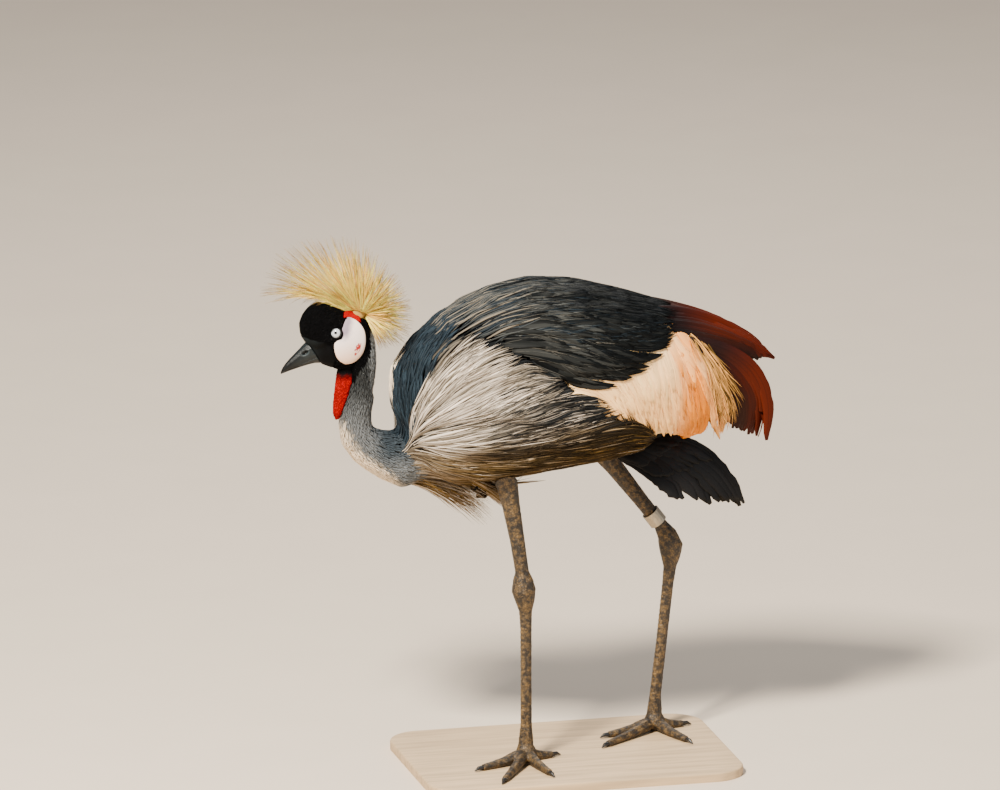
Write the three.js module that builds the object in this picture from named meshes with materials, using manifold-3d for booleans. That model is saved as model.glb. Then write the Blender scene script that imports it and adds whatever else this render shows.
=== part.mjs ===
// A grey crowned crane, standing with its neck drawn back into an S. Millimetres, +Z up.
// The bird faces -X and its left side is -Y. The floor is z = 0, under a plain display base.
import * as THREE from 'three';
import { mergeVertices } from 'three/addons/utils/BufferGeometryUtils.js';
import Module from 'manifold-3d';

const wasm = await Module();
wasm.setup();

// Driving sizes of the whole bird
const GAP = 0.3;
const SIMPLE = 0.025; // facets closer to flat than this are merged // clearance between touching parts
const MIDDLE_X = -14.7; // middle of the bird's length, from the mark where the side view is measured
const MIDDLE_Y = -17.9; // middle of its width, from the plane of symmetry
const LEG_SPREAD = 52; // each leg from the plane of symmetry
const STAND = { thick: 12, front: -150, back: 270, half: 145, corner: 45 }; // base, from the frame's middle

// Each form is a table of stations: place along the form, top, bottom, half width
const TORSO = [
  [-184, 528, 472, 20], [-177, 546, 446, 42], [-165, 558, 412, 60], [-150, 570, 392, 71],
  [-120, 592, 374, 83], [-85, 608, 366, 91], [-50, 620, 370, 96], [0, 627, 376, 98],
  [50, 624, 382, 95], [100, 611, 388, 87], [150, 592, 398, 75], [200, 567, 416, 59],
  [240, 541, 436, 43], [270, 514, 450, 28], [290, 488, 466, 12],
];
// The outer face of the folded wings and flanks, also where it runs past the rump
const CLOAK = [
  [-172, 560, 408, 62], [-150, 576, 388, 77], [-120, 600, 367, 92],
  [-85, 617, 360, 102], [-50, 630, 364, 107],
  [0, 637, 370, 110], [50, 634, 376, 109], [100, 622, 383, 103], [150, 605, 391, 94],
  [200, 584, 399, 82], [250, 564, 403, 67], [300, 541, 404, 48], [335, 520, 418, 30],
];
// Centre line of the neck from the skull to the chest: x, z, radius
const NECK = [
  [-230, 562, 15], [-223, 537, 18.5], [-221, 511, 18], [-226, 486, 19], [-231, 466, 21],
  [-231, 446, 23], [-223, 430, 25], [-209, 420, 28], [-190, 411, 33], [-165, 406, 41], [-125, 425, 40],
];
// The head frame: its origin, and how far the bill points below level
const HEAD_X = -240.4;
const HEAD_Z = 566.7;
const HEAD_TILT = THREE.MathUtils.degToRad(32);
const SKULL = [
  [-32, 12, 0, 5], [-29, 21, -10, 12], [-22, 29, -20, 17.5], [-10, 34, -27, 21.5], [5, 36, -31, 23],
  [18, 36, -31, 23], [28, 35.5, -28, 21], [36, 34, -22, 17.5], [42, 32, -11, 13.5], [47, 31, -5, 11.5],
];
const CUSHION = [
  [-20, 30, 18, 5], [-15, 41, 6, 14], [-8, 51, 0, 19.5], [0, 63, -3, 22], [12, 69.5, -3, 23.5],
  [25, 67.5, 0, 23.5], [36, 61, 6, 21.5], [43, 54, 14, 17], [48, 42, 25, 8],
];
const BILL = [
  [40, 32, -8, 13.5], [46, 31, -4.5, 11.6], [53, 29.6, 0.5, 9.8], [61, 27.5, 3.6, 8.2],
  [70, 25.6, 6.6, 6.6], [79, 23.6, 9.2, 5], [87, 21, 11.6, 3.6], [93, 18, 13, 2.2], [96.5, 15.6, 13.6, 0.8],
];
const BILL_BASE = 46; // where the bill leaves the feathered face
const MOUTH_FRONT = [100, 16]; // the mouth line in the head frame
const MOUTH_BACK = [33, 6];
const NOSTRIL = { along: 56, height: 20.5, across: 9.2, radii: [4.2, 2.6, 2] };
const EYE = { along: 8.9, height: 19.6, across: 13.6, radius: 8 };
const CHEEK = { x: -240.3, z: 567, halfWidth: 21.5, halfHeight: 31.5, depth: 1.6 };
const WATTLE = [
  [462, -253.5, -258, 2], [467, -250, -260.5, 4.5], [475, -246, -261, 6.2], [487, -241, -260.5, 7.4],
  [503, -235, -258.5, 8.4], [520, -228, -256.5, 9.2], [536, -226, -254, 8.6],
];
const CREST = { x: -226, z: 600, mound: [15, 15, 10] };

// Small tools for closed meshes
function solidFrom(positions, triangles) {
  const geometry = new THREE.BufferGeometry();
  geometry.setAttribute('position', new THREE.Float32BufferAttribute(positions, 3));
  geometry.setIndex(triangles);
  return solidOfGeometry(geometry);
}

function solidOfGeometry(source) {
  const geometry = source.index ? source.clone() : mergeVertices(source.clone(), 1e-4);
  geometry.deleteAttribute('normal');
  geometry.deleteAttribute('uv');
  const merged = mergeVertices(geometry, 1e-4);
  return new wasm.Manifold(new wasm.Mesh({
    numProp: 3,
    vertProperties: new Float32Array(merged.attributes.position.array),
    triVerts: new Uint32Array(merged.index.array),
  }));
}

function largest(solid) {
  const pieces = solid.decompose();
  const size = (piece) => Math.abs(piece.volume());
  return pieces.reduce((best, piece) => (size(piece) > size(best) ? piece : best));
}

// Rings of equal count joined into a closed tube; a ring of one point closes an end in a tip.
// A blade has four edges, and its two faces are split alike so that a twist can't make them cross.
function joinRings(rings, isBlade = false) {
  const positions = [];
  const starts = [];
  for (const ring of rings) {
    starts.push(positions.length / 3);
    for (const point of ring) positions.push(point.x, point.y, point.z);
  }
  const triangles = [];
  const sides = Math.max(...rings.map((ring) => ring.length));
  for (let k = 0; k < rings.length - 1; k += 1) {
    const a = starts[k];
    const b = starts[k + 1];
    for (let i = 0; i < sides; i += 1) {
      const j = (i + 1) % sides;
      if (rings[k].length === 1) triangles.push(a, b + j, b + i);
      else if (rings[k + 1].length === 1) triangles.push(a + i, a + j, b);
      else if (isBlade && i % 2 === 1) triangles.push(a + i, a + j, b + i, a + j, b + j, b + i);
      else triangles.push(a + i, a + j, b + j, a + i, b + j, b + i);
    }
  }
  const solid = solidFrom(positions, triangles);
  if (solid.volume() > 0) return solid;
  for (let i = 0; i < triangles.length; i += 3) {
    [triangles[i + 1], triangles[i + 2]] = [triangles[i + 2], triangles[i + 1]];
  }
  return solidFrom(positions, triangles);
}

// Monotone curve through the stations of a table, so that no form bulges between two of them
function between(table, column, at) {
  const last = table.length - 1;
  let k = 0;
  while (k < last - 1 && at > table[k + 1][0]) k += 1;
  const slope = (i) => (table[i + 1][column] - table[i][column]) / (table[i + 1][0] - table[i][0]);
  const tangent = (i) => {
    if (i === 0) return slope(0);
    if (i === last) return slope(last - 1);
    const product = slope(i - 1) * slope(i);
    return product <= 0 ? 0 : (2 * product) / (slope(i - 1) + slope(i));
  };
  const span = table[k + 1][0] - table[k][0];
  const t = Math.min(1, Math.max(0, (at - table[k][0]) / span));
  const s = 1 - t;
  return table[k][column] * s * s * (1 + 2 * t) + table[k + 1][column] * t * t * (3 - 2 * t)
    + tangent(k) * span * t * s * s - tangent(k + 1) * span * t * t * s;
}

// A form gives the point at a station and angle; 0 is its top, 90 degrees its +Y side
function makeForm(table, place, power) {
  const bend = 2 / power;
  const at0 = table[0][0];
  const at1 = table[table.length - 1][0];
  const raw = (at, angle) => {
    const top = between(table, 1, at);
    const bottom = between(table, 2, at);
    const across = Math.sign(Math.sin(angle)) * Math.abs(Math.sin(angle)) ** bend;
    const up = Math.sign(Math.cos(angle)) * Math.abs(Math.cos(angle)) ** bend;
    return place(at, between(table, 3, at) * across, (top + bottom) / 2 + ((top - bottom) / 2) * up);
  };
  const normal = (at, angle) => {
    const step = (at1 - at0) * 1e-3;
    const a = Math.min(at1, at + step);
    const b = Math.max(at0, at - step);
    const along = raw(a, angle).sub(raw(b, angle));
    const around = raw(at, angle + 0.02).sub(raw(at, angle - 0.02));
    const outward = along.cross(around).normalize();
    const centre = raw(at, 0).add(raw(at, Math.PI)).multiplyScalar(0.5);
    return outward.dot(raw(at, angle).sub(centre)) < 0 ? outward.negate() : outward;
  };
  const point = (at, angle, lift) => raw(at, angle).addScaledVector(normal(at, angle), lift);
  const angleOf = (at, height) => {
    const top = between(table, 1, at);
    const bottom = between(table, 2, at);
    const up = Math.min(1, Math.max(-1, (height - (top + bottom) / 2) / ((top - bottom) / 2)));
    return Math.acos(Math.sign(up) * Math.abs(up) ** (1 / bend));
  };
  return { at0, at1, point, normal, raw, angleOf };
}

function solidOfForm(form, lift, rings, sides) {
  const centre = (at) => form.raw(at, 0).add(form.raw(at, Math.PI)).multiplyScalar(0.5);
  const cap = (at, inner) => centre(at).addScaledVector(centre(at).sub(centre(inner)).normalize(), lift);
  const list = [];
  const reach = form.at1 - form.at0;
  list.push([cap(form.at0, form.at0 + reach * 0.02)]);
  for (let k = 0; k <= rings; k += 1) {
    // stations close up towards both ends, where the form turns fastest
    const share = 0.5 - 0.5 * Math.cos((Math.PI * k) / rings);
    const at = form.at0 + reach * (0.35 * share + (0.65 * k) / rings);
    const ring = [];
    for (let i = 0; i < sides; i += 1) ring.push(form.point(at, (2 * Math.PI * i) / sides, lift));
    list.push(ring);
  }
  list.push([cap(form.at1, form.at1 - reach * 0.02)]);
  return joinRings(list);
}

// A round rod through points with a radius at each
function rod(points, radii, sides, flatness = 1) {
  const list = [];
  const across = new THREE.Vector3(0, 1, 0);
  points.forEach((point, k) => {
    const before = points[Math.max(0, k - 1)];
    const after = points[Math.min(points.length - 1, k + 1)];
    const along = after.clone().sub(before).normalize();
    const side = Math.abs(along.y) > 0.9 ? new THREE.Vector3(1, 0, 0) : across.clone();
    side.addScaledVector(along, -side.dot(along)).normalize();
    const up = side.clone().cross(along).normalize();
    const ring = [];
    for (let i = 0; i < sides; i += 1) {
      const angle = (2 * Math.PI * (i + 0.5)) / sides;
      ring.push(point.clone()
        .addScaledVector(up, radii[k] * Math.cos(angle))
        .addScaledVector(side, radii[k] * flatness * Math.sin(angle)));
    }
    if (k === 0) list.push([point.clone()]);
    list.push(ring);
    if (k === points.length - 1) list.push([point.clone()]);
  });
  return joinRings(list);
}

function ellipsoid(x, y, z, radii, columns, rows) {
  const geometry = new THREE.SphereGeometry(1, columns, rows);
  geometry.scale(...radii);
  geometry.translate(x, y, z);
  return solidOfGeometry(geometry);
}

// Seeded random numbers, so that every build is alike
let seed = 20261;
function random() {
  seed = (seed * 16807) % 2147483647;
  return seed / 2147483647;
}
const jitter = (amount) => (random() - 0.5) * 2 * amount;

// A tapering blade: points along its length, the way it faces, and its half width and thickness at each
function blade(points, faces, halfWidths, halfThick, roll = 0) {
  const last = points.length - 1;
  const rings = [[points[0]]];
  for (let k = 0; k < last; k += 1) {
    const along = points[k + 1].clone().sub(points[Math.max(0, k - 1)]).normalize();
    const side = faces[k].clone().cross(along).normalize();
    const up = along.clone().cross(side).normalize();
    const turned = side.clone().multiplyScalar(Math.cos(roll)).addScaledVector(up, Math.sin(roll));
    const over = along.clone().cross(turned).normalize();
    const thick = halfThick * (1 - (0.45 * k) / last);
    rings.push([
      points[k].clone().addScaledVector(turned, halfWidths[k]),
      points[k].clone().addScaledVector(over, thick),
      points[k].clone().addScaledVector(turned, -halfWidths[k]),
      points[k].clone().addScaledVector(over, -thick),
    ]);
  }
  rings[0] = [points[0].clone().addScaledVector(points[0].clone().sub(points[1]).normalize(), halfThick)];
  rings.push([points[last]]);
  return joinRings(rings, true);
}

// A feather lying on a form, from and to given as station and angle. Its root is sunk, and from there
// it rises evenly to its tip, so that it lies clear over the feathers rooted behind it.
const FEATHER_STEPS = [0, 0.12, 0.62, 1];
const FEATHER_WIDTHS = [0.6, 0.85, 1, 0];
function feather(form, from, to, lift, halfWidth, halfThick, bow = 0) {
  const points = [];
  const faces = [];
  FEATHER_STEPS.forEach((t, k) => {
    const at = from[0] + (to[0] - from[0]) * t;
    const angle = from[1] + (to[1] - from[1]) * t + bow * Math.sin(Math.PI * t);
    const height = k === 0 ? lift.root : lift.base + (lift.tip - lift.base) * t;
    points.push(form.point(at, angle, height));
    faces.push(form.normal(at, angle));
  });
  return blade(points, faces, FEATHER_WIDTHS.map((share) => share * halfWidth), halfThick);
}

const fuse = (solids) => wasm.Manifold.union(solids);

// Straight-line reading of a boundary in the side view: its height at a station
function heightAt(points, x) {
  let k = 0;
  while (k < points.length - 2 && x > points[k + 1][0]) k += 1;
  const t = (x - points[k][0]) / (points[k + 1][0] - points[k][0]);
  return points[k][1] + (points[k + 1][1] - points[k][1]) * Math.min(1, Math.max(0, t));
}

// A prism across Y over an outline in the side view, on one side of the plane of symmetry
const PRISM_DEPTH = 220;
function prism(outline, side) {
  const shape = new THREE.Shape(outline.map(([x, z]) => new THREE.Vector2(x, z)));
  const geometry = new THREE.ExtrudeGeometry(shape, { depth: PRISM_DEPTH, bevelEnabled: false });
  geometry.rotateX(Math.PI / 2);
  geometry.translate(0, side > 0 ? PRISM_DEPTH + GAP / 2 : -GAP / 2, 0);
  return solidOfGeometry(geometry);
}

const group = new THREE.Group();
const whole = new THREE.Group();
whole.position.set(-MIDDLE_X, -MIDDLE_Y, STAND.thick + GAP);
group.add(whole);

function addPart(name, solid, look) {
  const kept = largest(solid).simplify(SIMPLE).getMesh();
  const geometry = new THREE.BufferGeometry();
  geometry.setAttribute('position', new THREE.Float32BufferAttribute(kept.vertProperties, kept.numProp));
  geometry.setIndex(new THREE.Uint32BufferAttribute(kept.triVerts, 1));
  geometry.computeVertexNormals();
  const [color, roughness, metalness = 0] = look;
  const mesh = new THREE.Mesh(geometry, new THREE.MeshStandardMaterial({ color, roughness, metalness }));
  mesh.name = name;
  whole.add(mesh);
}

// Colours and finishes
const LOOK = {
  velvet: ['#0b0a0c', 0.9],
  bareCheek: ['#e6d8d2', 0.6],
  bill: ['#23282b', 0.45],
  eye: ['#c9d0d4', 0.15],
  straw: ['#d2b07a', 0.8],
  wattle: ['#c4150f', 0.55],
  neck: ['#8f959b', 0.85],
  torso: ['#5a6269', 0.85],
  flank: ['#a8a39c', 0.85],
  slate: ['#262e33', 0.8],
  white: ['#e9dccb', 0.8],
  rufous: ['#53221a', 0.75],
  tail: ['#1c1715', 0.8],
  leg: ['#4a423b', 0.7],
  claw: ['#26211e', 0.5],
  band: ['#b9b3a6', 0.35, 0.9],
  stand: ['#b89b76', 0.6],
};

// Body, neck and head forms
const straight = (x, y, z) => new THREE.Vector3(x, y, z);
const torsoForm = makeForm(TORSO, straight, 2.2);
const cloakForm = makeForm(CLOAK, straight, 2.3);
const torsoSolid = (lift) => solidOfForm(torsoForm, lift, 10, 16);
const cloakSolid = (lift) => solidOfForm(cloakForm, lift, 8, 16);

const neckTable = NECK.map(([, , radius], k) => [k, radius, -radius, radius]);
const neckCentre = new THREE.CatmullRomCurve3(NECK.map(([x, z]) => new THREE.Vector3(x, 0, z)));
const neckForm = makeForm(neckTable, (k, y, height) => {
  const t = k / (NECK.length - 1);
  const along = neckCentre.getTangent(t);
  return neckCentre.getPoint(t).add(new THREE.Vector3(along.z * -height, y, along.x * height));
}, 2);

const neckSolid = (lift) => solidOfForm(neckForm, lift, 13, 14);

const headPlace = (along, y, height) => new THREE.Vector3(
  HEAD_X - along * Math.cos(HEAD_TILT) - height * Math.sin(HEAD_TILT),
  y,
  HEAD_Z - along * Math.sin(HEAD_TILT) + height * Math.cos(HEAD_TILT),
);
const skullForm = makeForm(SKULL, headPlace, 2.1);
const cushionForm = makeForm(CUSHION, headPlace, 2.2);
const billForm = makeForm(BILL, headPlace, 2);
const wattleForm = makeForm(WATTLE, (z, y, x) => new THREE.Vector3(x, y, z), 2.2);

// Keeps the part of a solid on the far side of a plane through a point
function keepBeyond(solid, point, normal) {
  const unit = normal.clone().normalize();
  return solid.trimByPlane([unit.x, unit.y, unit.z], unit.dot(point));
}

// the two sides of a cut, each half a gap away from it
function aboveOf(solid, point, normal) {
  return keepBeyond(solid, point.clone().addScaledVector(normal, GAP / 2), normal);
}

function belowOf(solid, point, normal) {
  return aboveOf(solid, point, normal.clone().negate());
}

const headDirection = new THREE.Vector3(-Math.cos(HEAD_TILT), 0, -Math.sin(HEAD_TILT));
const billStart = headPlace(BILL_BASE, 0, 0);
const billWhole = keepBeyond(
  solidOfForm(billForm, 0, 8, 12), billStart.clone().addScaledVector(headDirection, GAP), headDirection);
const mouthFront = headPlace(MOUTH_FRONT[0], 0, MOUTH_FRONT[1]);
const mouthBack = headPlace(MOUTH_BACK[0], 0, MOUTH_BACK[1]);
const mouthAlong = mouthFront.clone().sub(mouthBack).normalize();
const mouthUp = new THREE.Vector3(mouthAlong.z, 0, -mouthAlong.x);
if (mouthUp.z < 0) mouthUp.negate();

const skull = (lift) => solidOfForm(skullForm, lift, 8, 12);
const cushionGrown = (lift) => solidOfForm(cushionForm, lift, 7, 10);
const eyeCentre = (side) => headPlace(EYE.along, side * EYE.across, EYE.height);
const eyeBall = (side, grow) => {
  const centre = eyeCentre(side);
  const radius = EYE.radius + grow;
  return ellipsoid(centre.x, centre.y, centre.z, [radius, radius, radius], 10, 8);
};

function cheekPrism(side, grow) {
  const outline = [];
  const corners = 12;
  for (let i = 0; i < corners; i += 1) {
    const angle = (2 * Math.PI * i) / corners;
    outline.push([
      CHEEK.x + (CHEEK.halfWidth + grow) * Math.cos(angle),
      CHEEK.z + (CHEEK.halfHeight + grow) * Math.sin(angle),
    ]);
  }
  return prism(outline, side);
}
const cheekSolid = (side, grow) => skull(CHEEK.depth + grow).intersect(cheekPrism(side, grow));

// Eyelid: a ring lying on the skull round the eye
function lid(side) {
  const geometry = new THREE.TorusGeometry(EYE.radius - 0.6, 1.7, 4, 9);
  geometry.rotateX(Math.PI / 2);
  const centre = eyeCentre(side);
  geometry.translate(centre.x, side * (EYE.across + 5.2), centre.z);
  return solidOfGeometry(geometry);
}

function buildHead() {
  let head = keepBeyond(skull(0), billStart, headDirection.clone().negate());
  const cushion = cushionGrown(0).subtract(skull(GAP)).subtract(
    keepBeyond(solidOfForm(billForm, GAP, 8, 12), billStart, headDirection));
  let top = cushion;
  for (const side of [-1, 1]) {
    head = head.add(lid(side)).subtract(eyeBall(side, GAP));
    top = top.subtract(eyeBall(side, GAP)).subtract(lid(side));
    const round = [skull(GAP), cushionGrown(GAP), eyeBall(side, 3.4)];
    const cheek = round.reduce((solid, other) => solid.subtract(other), cheekSolid(side, 0));
    addPart(side < 0 ? 'cheek_left' : 'cheek_right', cheek, LOOK.bareCheek);
    addPart(side < 0 ? 'eye_left' : 'eye_right', eyeBall(side, 0), LOOK.eye);
  }
  addPart('head', head, LOOK.velvet);
  addPart('forehead_cushion', top, LOOK.velvet);
  let bill = billWhole;
  for (const side of [-1, 1]) {
    const centre = headPlace(NOSTRIL.along, side * NOSTRIL.across, NOSTRIL.height);
    const geometry = new THREE.SphereGeometry(1, 8, 6).scale(...NOSTRIL.radii).rotateY(-HEAD_TILT);
    bill = bill.subtract(solidOfGeometry(geometry.translate(centre.x, centre.y, centre.z)));
  }
  const upper = aboveOf(bill, mouthBack, mouthUp);
  const lower = belowOf(bill, mouthBack, mouthUp);
  addPart('bill_upper', upper, LOOK.bill);
  addPart('bill_lower', lower, LOOK.bill);
}

// Neck and torso, modelled whole and parted by thin cuts
const CHEST_CUT = [new THREE.Vector3(-190, 0, 446), new THREE.Vector3(-157, 0, 362)];
const NECK_CUT = new THREE.Vector3(0, 0, 468);
const MANTLE = { x: -164, z: 509, length: 60, width: 200, height: 120 };

function mantleBox(gap) {
  const box = new THREE.BoxGeometry(MANTLE.length - gap, MANTLE.width, MANTLE.height);
  return solidOfGeometry(box.translate(MANTLE.x, 0, MANTLE.z + gap));
}

// Loose plumes that hang from the breast
const BREAST = { rows: 3, columns: 4, halfWidth: 5, halfThick: 1.2 };
function breastPlumes() {
  const list = [];
  for (let row = 0; row < BREAST.rows; row += 1) {
    for (let column = 0; column < BREAST.columns; column += 1) {
      const aside = (2 * (column + 0.5)) / BREAST.columns - 1;
      const x = -146 + 24 * row + jitter(4);
      const angle = Math.PI - aside * 0.3;
      const root = torsoForm.point(x, angle, -3);
      const drop = 22 + 26 * (1 - Math.abs(aside)) + jitter(6);
      const reach = 58 + 12 * random();
      const middle = root.clone().add(new THREE.Vector3(reach * 0.5, aside * 3, -drop * 0.28 - 3));
      const tip = root.clone().add(new THREE.Vector3(reach, aside * 8, -drop));
      const face = torsoForm.normal(x, angle);
      const widths = [BREAST.halfWidth * 0.8, BREAST.halfWidth, 0];
      list.push(blade([root, middle, tip], [face, face, face], widths, BREAST.halfThick));
    }
  }
  return list;
}

function buildNeckAndTorso() {
  let body = torsoSolid(0).add(neckSolid(0));
  body = body.subtract(skull(GAP));
  for (const side of [-1, 1]) body = body.subtract(cheekSolid(side, GAP));
  const cutAlong = CHEST_CUT[1].clone().sub(CHEST_CUT[0]).normalize();
  const backward = new THREE.Vector3(-cutAlong.z, 0, cutAlong.x);
  if (backward.x < 0) backward.negate();
  const torso = aboveOf(body, CHEST_CUT[0], backward);
  const neck = belowOf(body, CHEST_CUT[0], backward);
  // what stands in front of the cut above the bend of the neck is the front of the mantle
  const neckOnly = neck.subtract(mantleBox(0));
  const mantle = neck.intersect(mantleBox(GAP));
  const up = new THREE.Vector3(0, 0, 1);
  const upper = aboveOf(neckOnly, NECK_CUT, up);
  const lower = belowOf(neckOnly, NECK_CUT, up);
  addPart('neck_upper', upper, LOOK.neck);
  addPart('neck_lower', lower, LOOK.neck);
  addPart('torso', fuse([torso, mantle, ...breastPlumes()]), LOOK.torso);
  const wattle = solidOfForm(wattleForm, 0, 8, 10).subtract(skull(GAP)).subtract(neckSolid(GAP));
  addPart('wattle', wattle, LOOK.wattle);
}

// Crest, a globe of stiff bristles on a low mound behind the cushion.
// Reach by angle in the side view: 0 points to the tail, 90 up, 180 to the bill.
const CREST_REACH = [
  [-52, 58], [-30, 74], [0, 71], [28, 70], [52, 74],
  [76, 86], [95, 104], [118, 118], [140, 137], [166, 134],
];
const CREST_ROWS = 15;
const CREST_COLUMNS = 6;
const CREST_SIDEWAYS = THREE.MathUtils.degToRad(50);
const BRISTLE = { root: 1.1, middle: 0.8, sunk: 0.72 };

function bristle(row, column) {
  const degrees = -53 + (224 * (row + 0.5 + jitter(0.35))) / CREST_ROWS;
  // the lowest bristles keep clear of the cheeks
  const swing = CREST_SIDEWAYS * Math.min(1, 0.72 + Math.max(0, degrees) / 100);
  const sideways = swing * ((2 * (column + 0.5 + jitter(0.35))) / CREST_COLUMNS - 1);
  const shorter = 1 - 0.22 * (sideways / CREST_SIDEWAYS) ** 2;
  const reach = heightAt(CREST_REACH, degrees) * (0.93 + 0.07 * random()) * shorter;
  // bristles that lean to the bill rise over the cushion before they bend forward
  const lean = Math.max(0, degrees - 90);
  const way = (angle, aside) => new THREE.Vector3(
    Math.cos(angle) * Math.cos(aside), Math.sin(aside), Math.sin(angle) * Math.cos(aside));
  const end = THREE.MathUtils.degToRad(degrees);
  const start = THREE.MathUtils.degToRad(degrees - lean * 0.45);
  const mound = new THREE.Vector3(CREST.x, 0, CREST.z);
  const radii = new THREE.Vector3(...CREST.mound).multiplyScalar(BRISTLE.sunk);
  const root = way(start, sideways).multiply(radii).add(mound);
  const middle = mound.clone().addScaledVector(way(start, sideways), reach * 0.5);
  const tip = mound.clone().addScaledVector(way(end, sideways), reach);
  const ring = (centre, along, radius) => {
    const side = new THREE.Vector3(0, 1, 0).cross(along).normalize();
    const up = along.clone().cross(side).normalize();
    return [0, 1, 2].map((i) => centre.clone()
      .addScaledVector(side, radius * Math.cos((2 * Math.PI * i) / 3))
      .addScaledVector(up, radius * Math.sin((2 * Math.PI * i) / 3)));
  };
  const out = middle.clone().sub(root).normalize();
  const on = tip.clone().sub(middle).normalize();
  const rings = [[root.clone().addScaledVector(out, -0.6)], ring(root, out, BRISTLE.root)];
  if (lean > 0) rings.push(ring(middle, on, BRISTLE.middle));
  return joinRings([...rings, [tip]]);
}

function buildCrest() {
  const pieces = [ellipsoid(CREST.x, 0, CREST.z, CREST.mound, 14, 8)];
  for (let row = 0; row < CREST_ROWS; row += 1) {
    for (let column = 0; column < CREST_COLUMNS; column += 1) pieces.push(bristle(row, column));
  }
  const crest = fuse(pieces).subtract(skull(GAP)).subtract(cushionGrown(GAP))
    .subtract(cheekSolid(-1, GAP)).subtract(cheekSolid(1, GAP)).subtract(neckSolid(GAP));
  addPart('crest', crest, LOOK.straw);
}

// Wing areas in the side view, as outlines over the cloak
const SEAM = [0.25, -0.35];
const shifted = (points) => points.map(([x, z]) => [x + SEAM[0], z + SEAM[1]]);
const SLATE_EDGE = [
  [-12, 539], [20, 521], [51, 509], [88, 507], [139, 530], [162, 553], [180, 572], [207, 604],
];
const FLANK_TOP = [[-150, 541], [-125, 574], [-77, 576], [-33, 553], [-13, 539]];
const FLANK_REAR = [[40, 504], [71, 492], [125, 462], [146, 440], [150, 424]];
const FLANK_BOTTOM = [
  [130, 408], [60, 398], [0, 392], [-60, 388], [-120, 386],
  [-160, 402], [-172, 430], [-164, 466], [-151, 502],
];
const AREAS = {
  wing: {
    outline: [
      ...FLANK_TOP.slice(1).map(([x, z]) => [x, z + 0.4]),
      ...SLATE_EDGE.slice(1), [200, 650], [-100, 650],
    ],
    outer: -2, inner: null, look: LOOK.slate,
  },
  flank_plumes: {
    outline: [...FLANK_TOP, ...FLANK_REAR, ...FLANK_BOTTOM], outer: -1.6, inner: null, look: LOOK.flank,
  },
  white_coverts: {
    outline: [
      ...shifted(SLATE_EDGE.slice(0, 7)),
      [203, 556], [216, 500], [226, 430], [201, 415], [184, 428], [151, 424],
      ...[...FLANK_REAR].reverse().map(([x, z]) => [x + 0.35, z + 0.3]),
    ],
    outer: -4.8, inner: null, look: LOOK.white,
  },
  straw_plumes: {
    outline: [[203.5, 555.5], [240, 538], [262, 500], [266, 440], [245, 424], [226.5, 430], [216.5, 500]],
    outer: -6.8, inner: -12, look: LOOK.straw,
  },
  tertials: {
    outline: [
      [207.5, 603.5], [180.5, 571.6], [203.5, 556.3], [240.3, 538.6], [270, 513],
      [292, 512], [318, 512], [300, 552], [270, 580], [240, 605],
    ],
    outer: -2, inner: -9, look: LOOK.rufous,
  },
  secondaries: {
    outline: [
      [240.6, 537.8], [262.5, 500], [266.5, 440], [260, 430], [281, 414],
      [296, 404], [309, 414], [311, 443], [295, 477], [269.6, 512.2],
    ],
    outer: -8.6, inner: -13, look: LOOK.rufous,
  },
};

// Feathers of a wing area run in rows between two boundaries read in the side view.
// A row is a share of the way from the lower boundary (0) to the upper one (1).
function featherRows(rows, columns, spot) {
  const list = [];
  for (let row = 0; row < rows; row += 1) {
    for (let column = 0; column < columns; column += 1) {
      const made = spot(row, column);
      if (made) list.push(made);
    }
  }
  return list;
}

const SPINE_ANGLE = THREE.MathUtils.degToRad(7); // the wings leave a parting down the back
const WING_ROWS = { rows: 4, columns: 4, start: -98, pitch: 62, length: 112, halfWidth: 13.5, halfThick: 0.6 };
const WING_LIFT = { root: -6, base: 0, tip: 3 };
const WING_LOWER = [...FLANK_TOP.slice(1), ...SLATE_EDGE.slice(1)];

function wingFeathers(side, grow) {
  const size = WING_ROWS;
  const angleAt = (x, share) => {
    const low = cloakForm.angleOf(x, heightAt(WING_LOWER, x));
    return side * (low + (SPINE_ANGLE - low) * share);
  };
  return featherRows(size.rows, size.columns, (row, column) => {
    const share = 0.14 + (0.8 * row) / (size.rows - 1);
    const x = size.start + size.pitch * (column + 0.5 * (row % 2)) + jitter(4);
    const end = Math.min(216, x + size.length + jitter(6));
    const spread = Math.max(0, x) / 520;
    const from = [x, angleAt(x, share)];
    const to = [end, angleAt(end, share - 0.05 + jitter(0.02) - spread * (0.5 - share))];
    return feather(cloakForm, from, to, WING_LIFT, size.halfWidth + grow, size.halfThick + grow, side * 0.03);
  });
}

const FLANK_ROWS = { rows: 4, columns: 4, start: -148, pitch: 56, length: 112, halfWidth: 11, halfThick: 0.6 };
const FLANK_LIFT = { root: -5.5, base: 1.4, tip: 4.4 };
const FLANK_UPPER = [[-150, 541], [-125, 574], [-77, 576], [-33, 553], [-13, 539], ...FLANK_REAR];

function flankLocks(side, grow) {
  const size = FLANK_ROWS;
  const low = (x) => cloakForm.angleOf(x, 0) * THREE.MathUtils.mapLinear(x, -150, 150, 0.8, 0.7);
  const angleAt = (x, share) => {
    const high = cloakForm.angleOf(x, heightAt(FLANK_UPPER, x));
    return side * (low(x) + (high - low(x)) * share);
  };
  return featherRows(size.rows, size.columns, (row, column) => {
    const share = 0.04 + (0.8 * row) / (size.rows - 1);
    const x = size.start + size.pitch * (column + 0.5 * (row % 2)) + jitter(5);
    const end = Math.min(150 - 6 * share, x + size.length + jitter(8));
    const from = [x, angleAt(x, share)];
    const to = [end, angleAt(end, share + 0.03 + jitter(0.03))];
    return feather(cloakForm, from, to, FLANK_LIFT, size.halfWidth + grow, size.halfThick + grow, -side * 0.05);
  });
}

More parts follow.
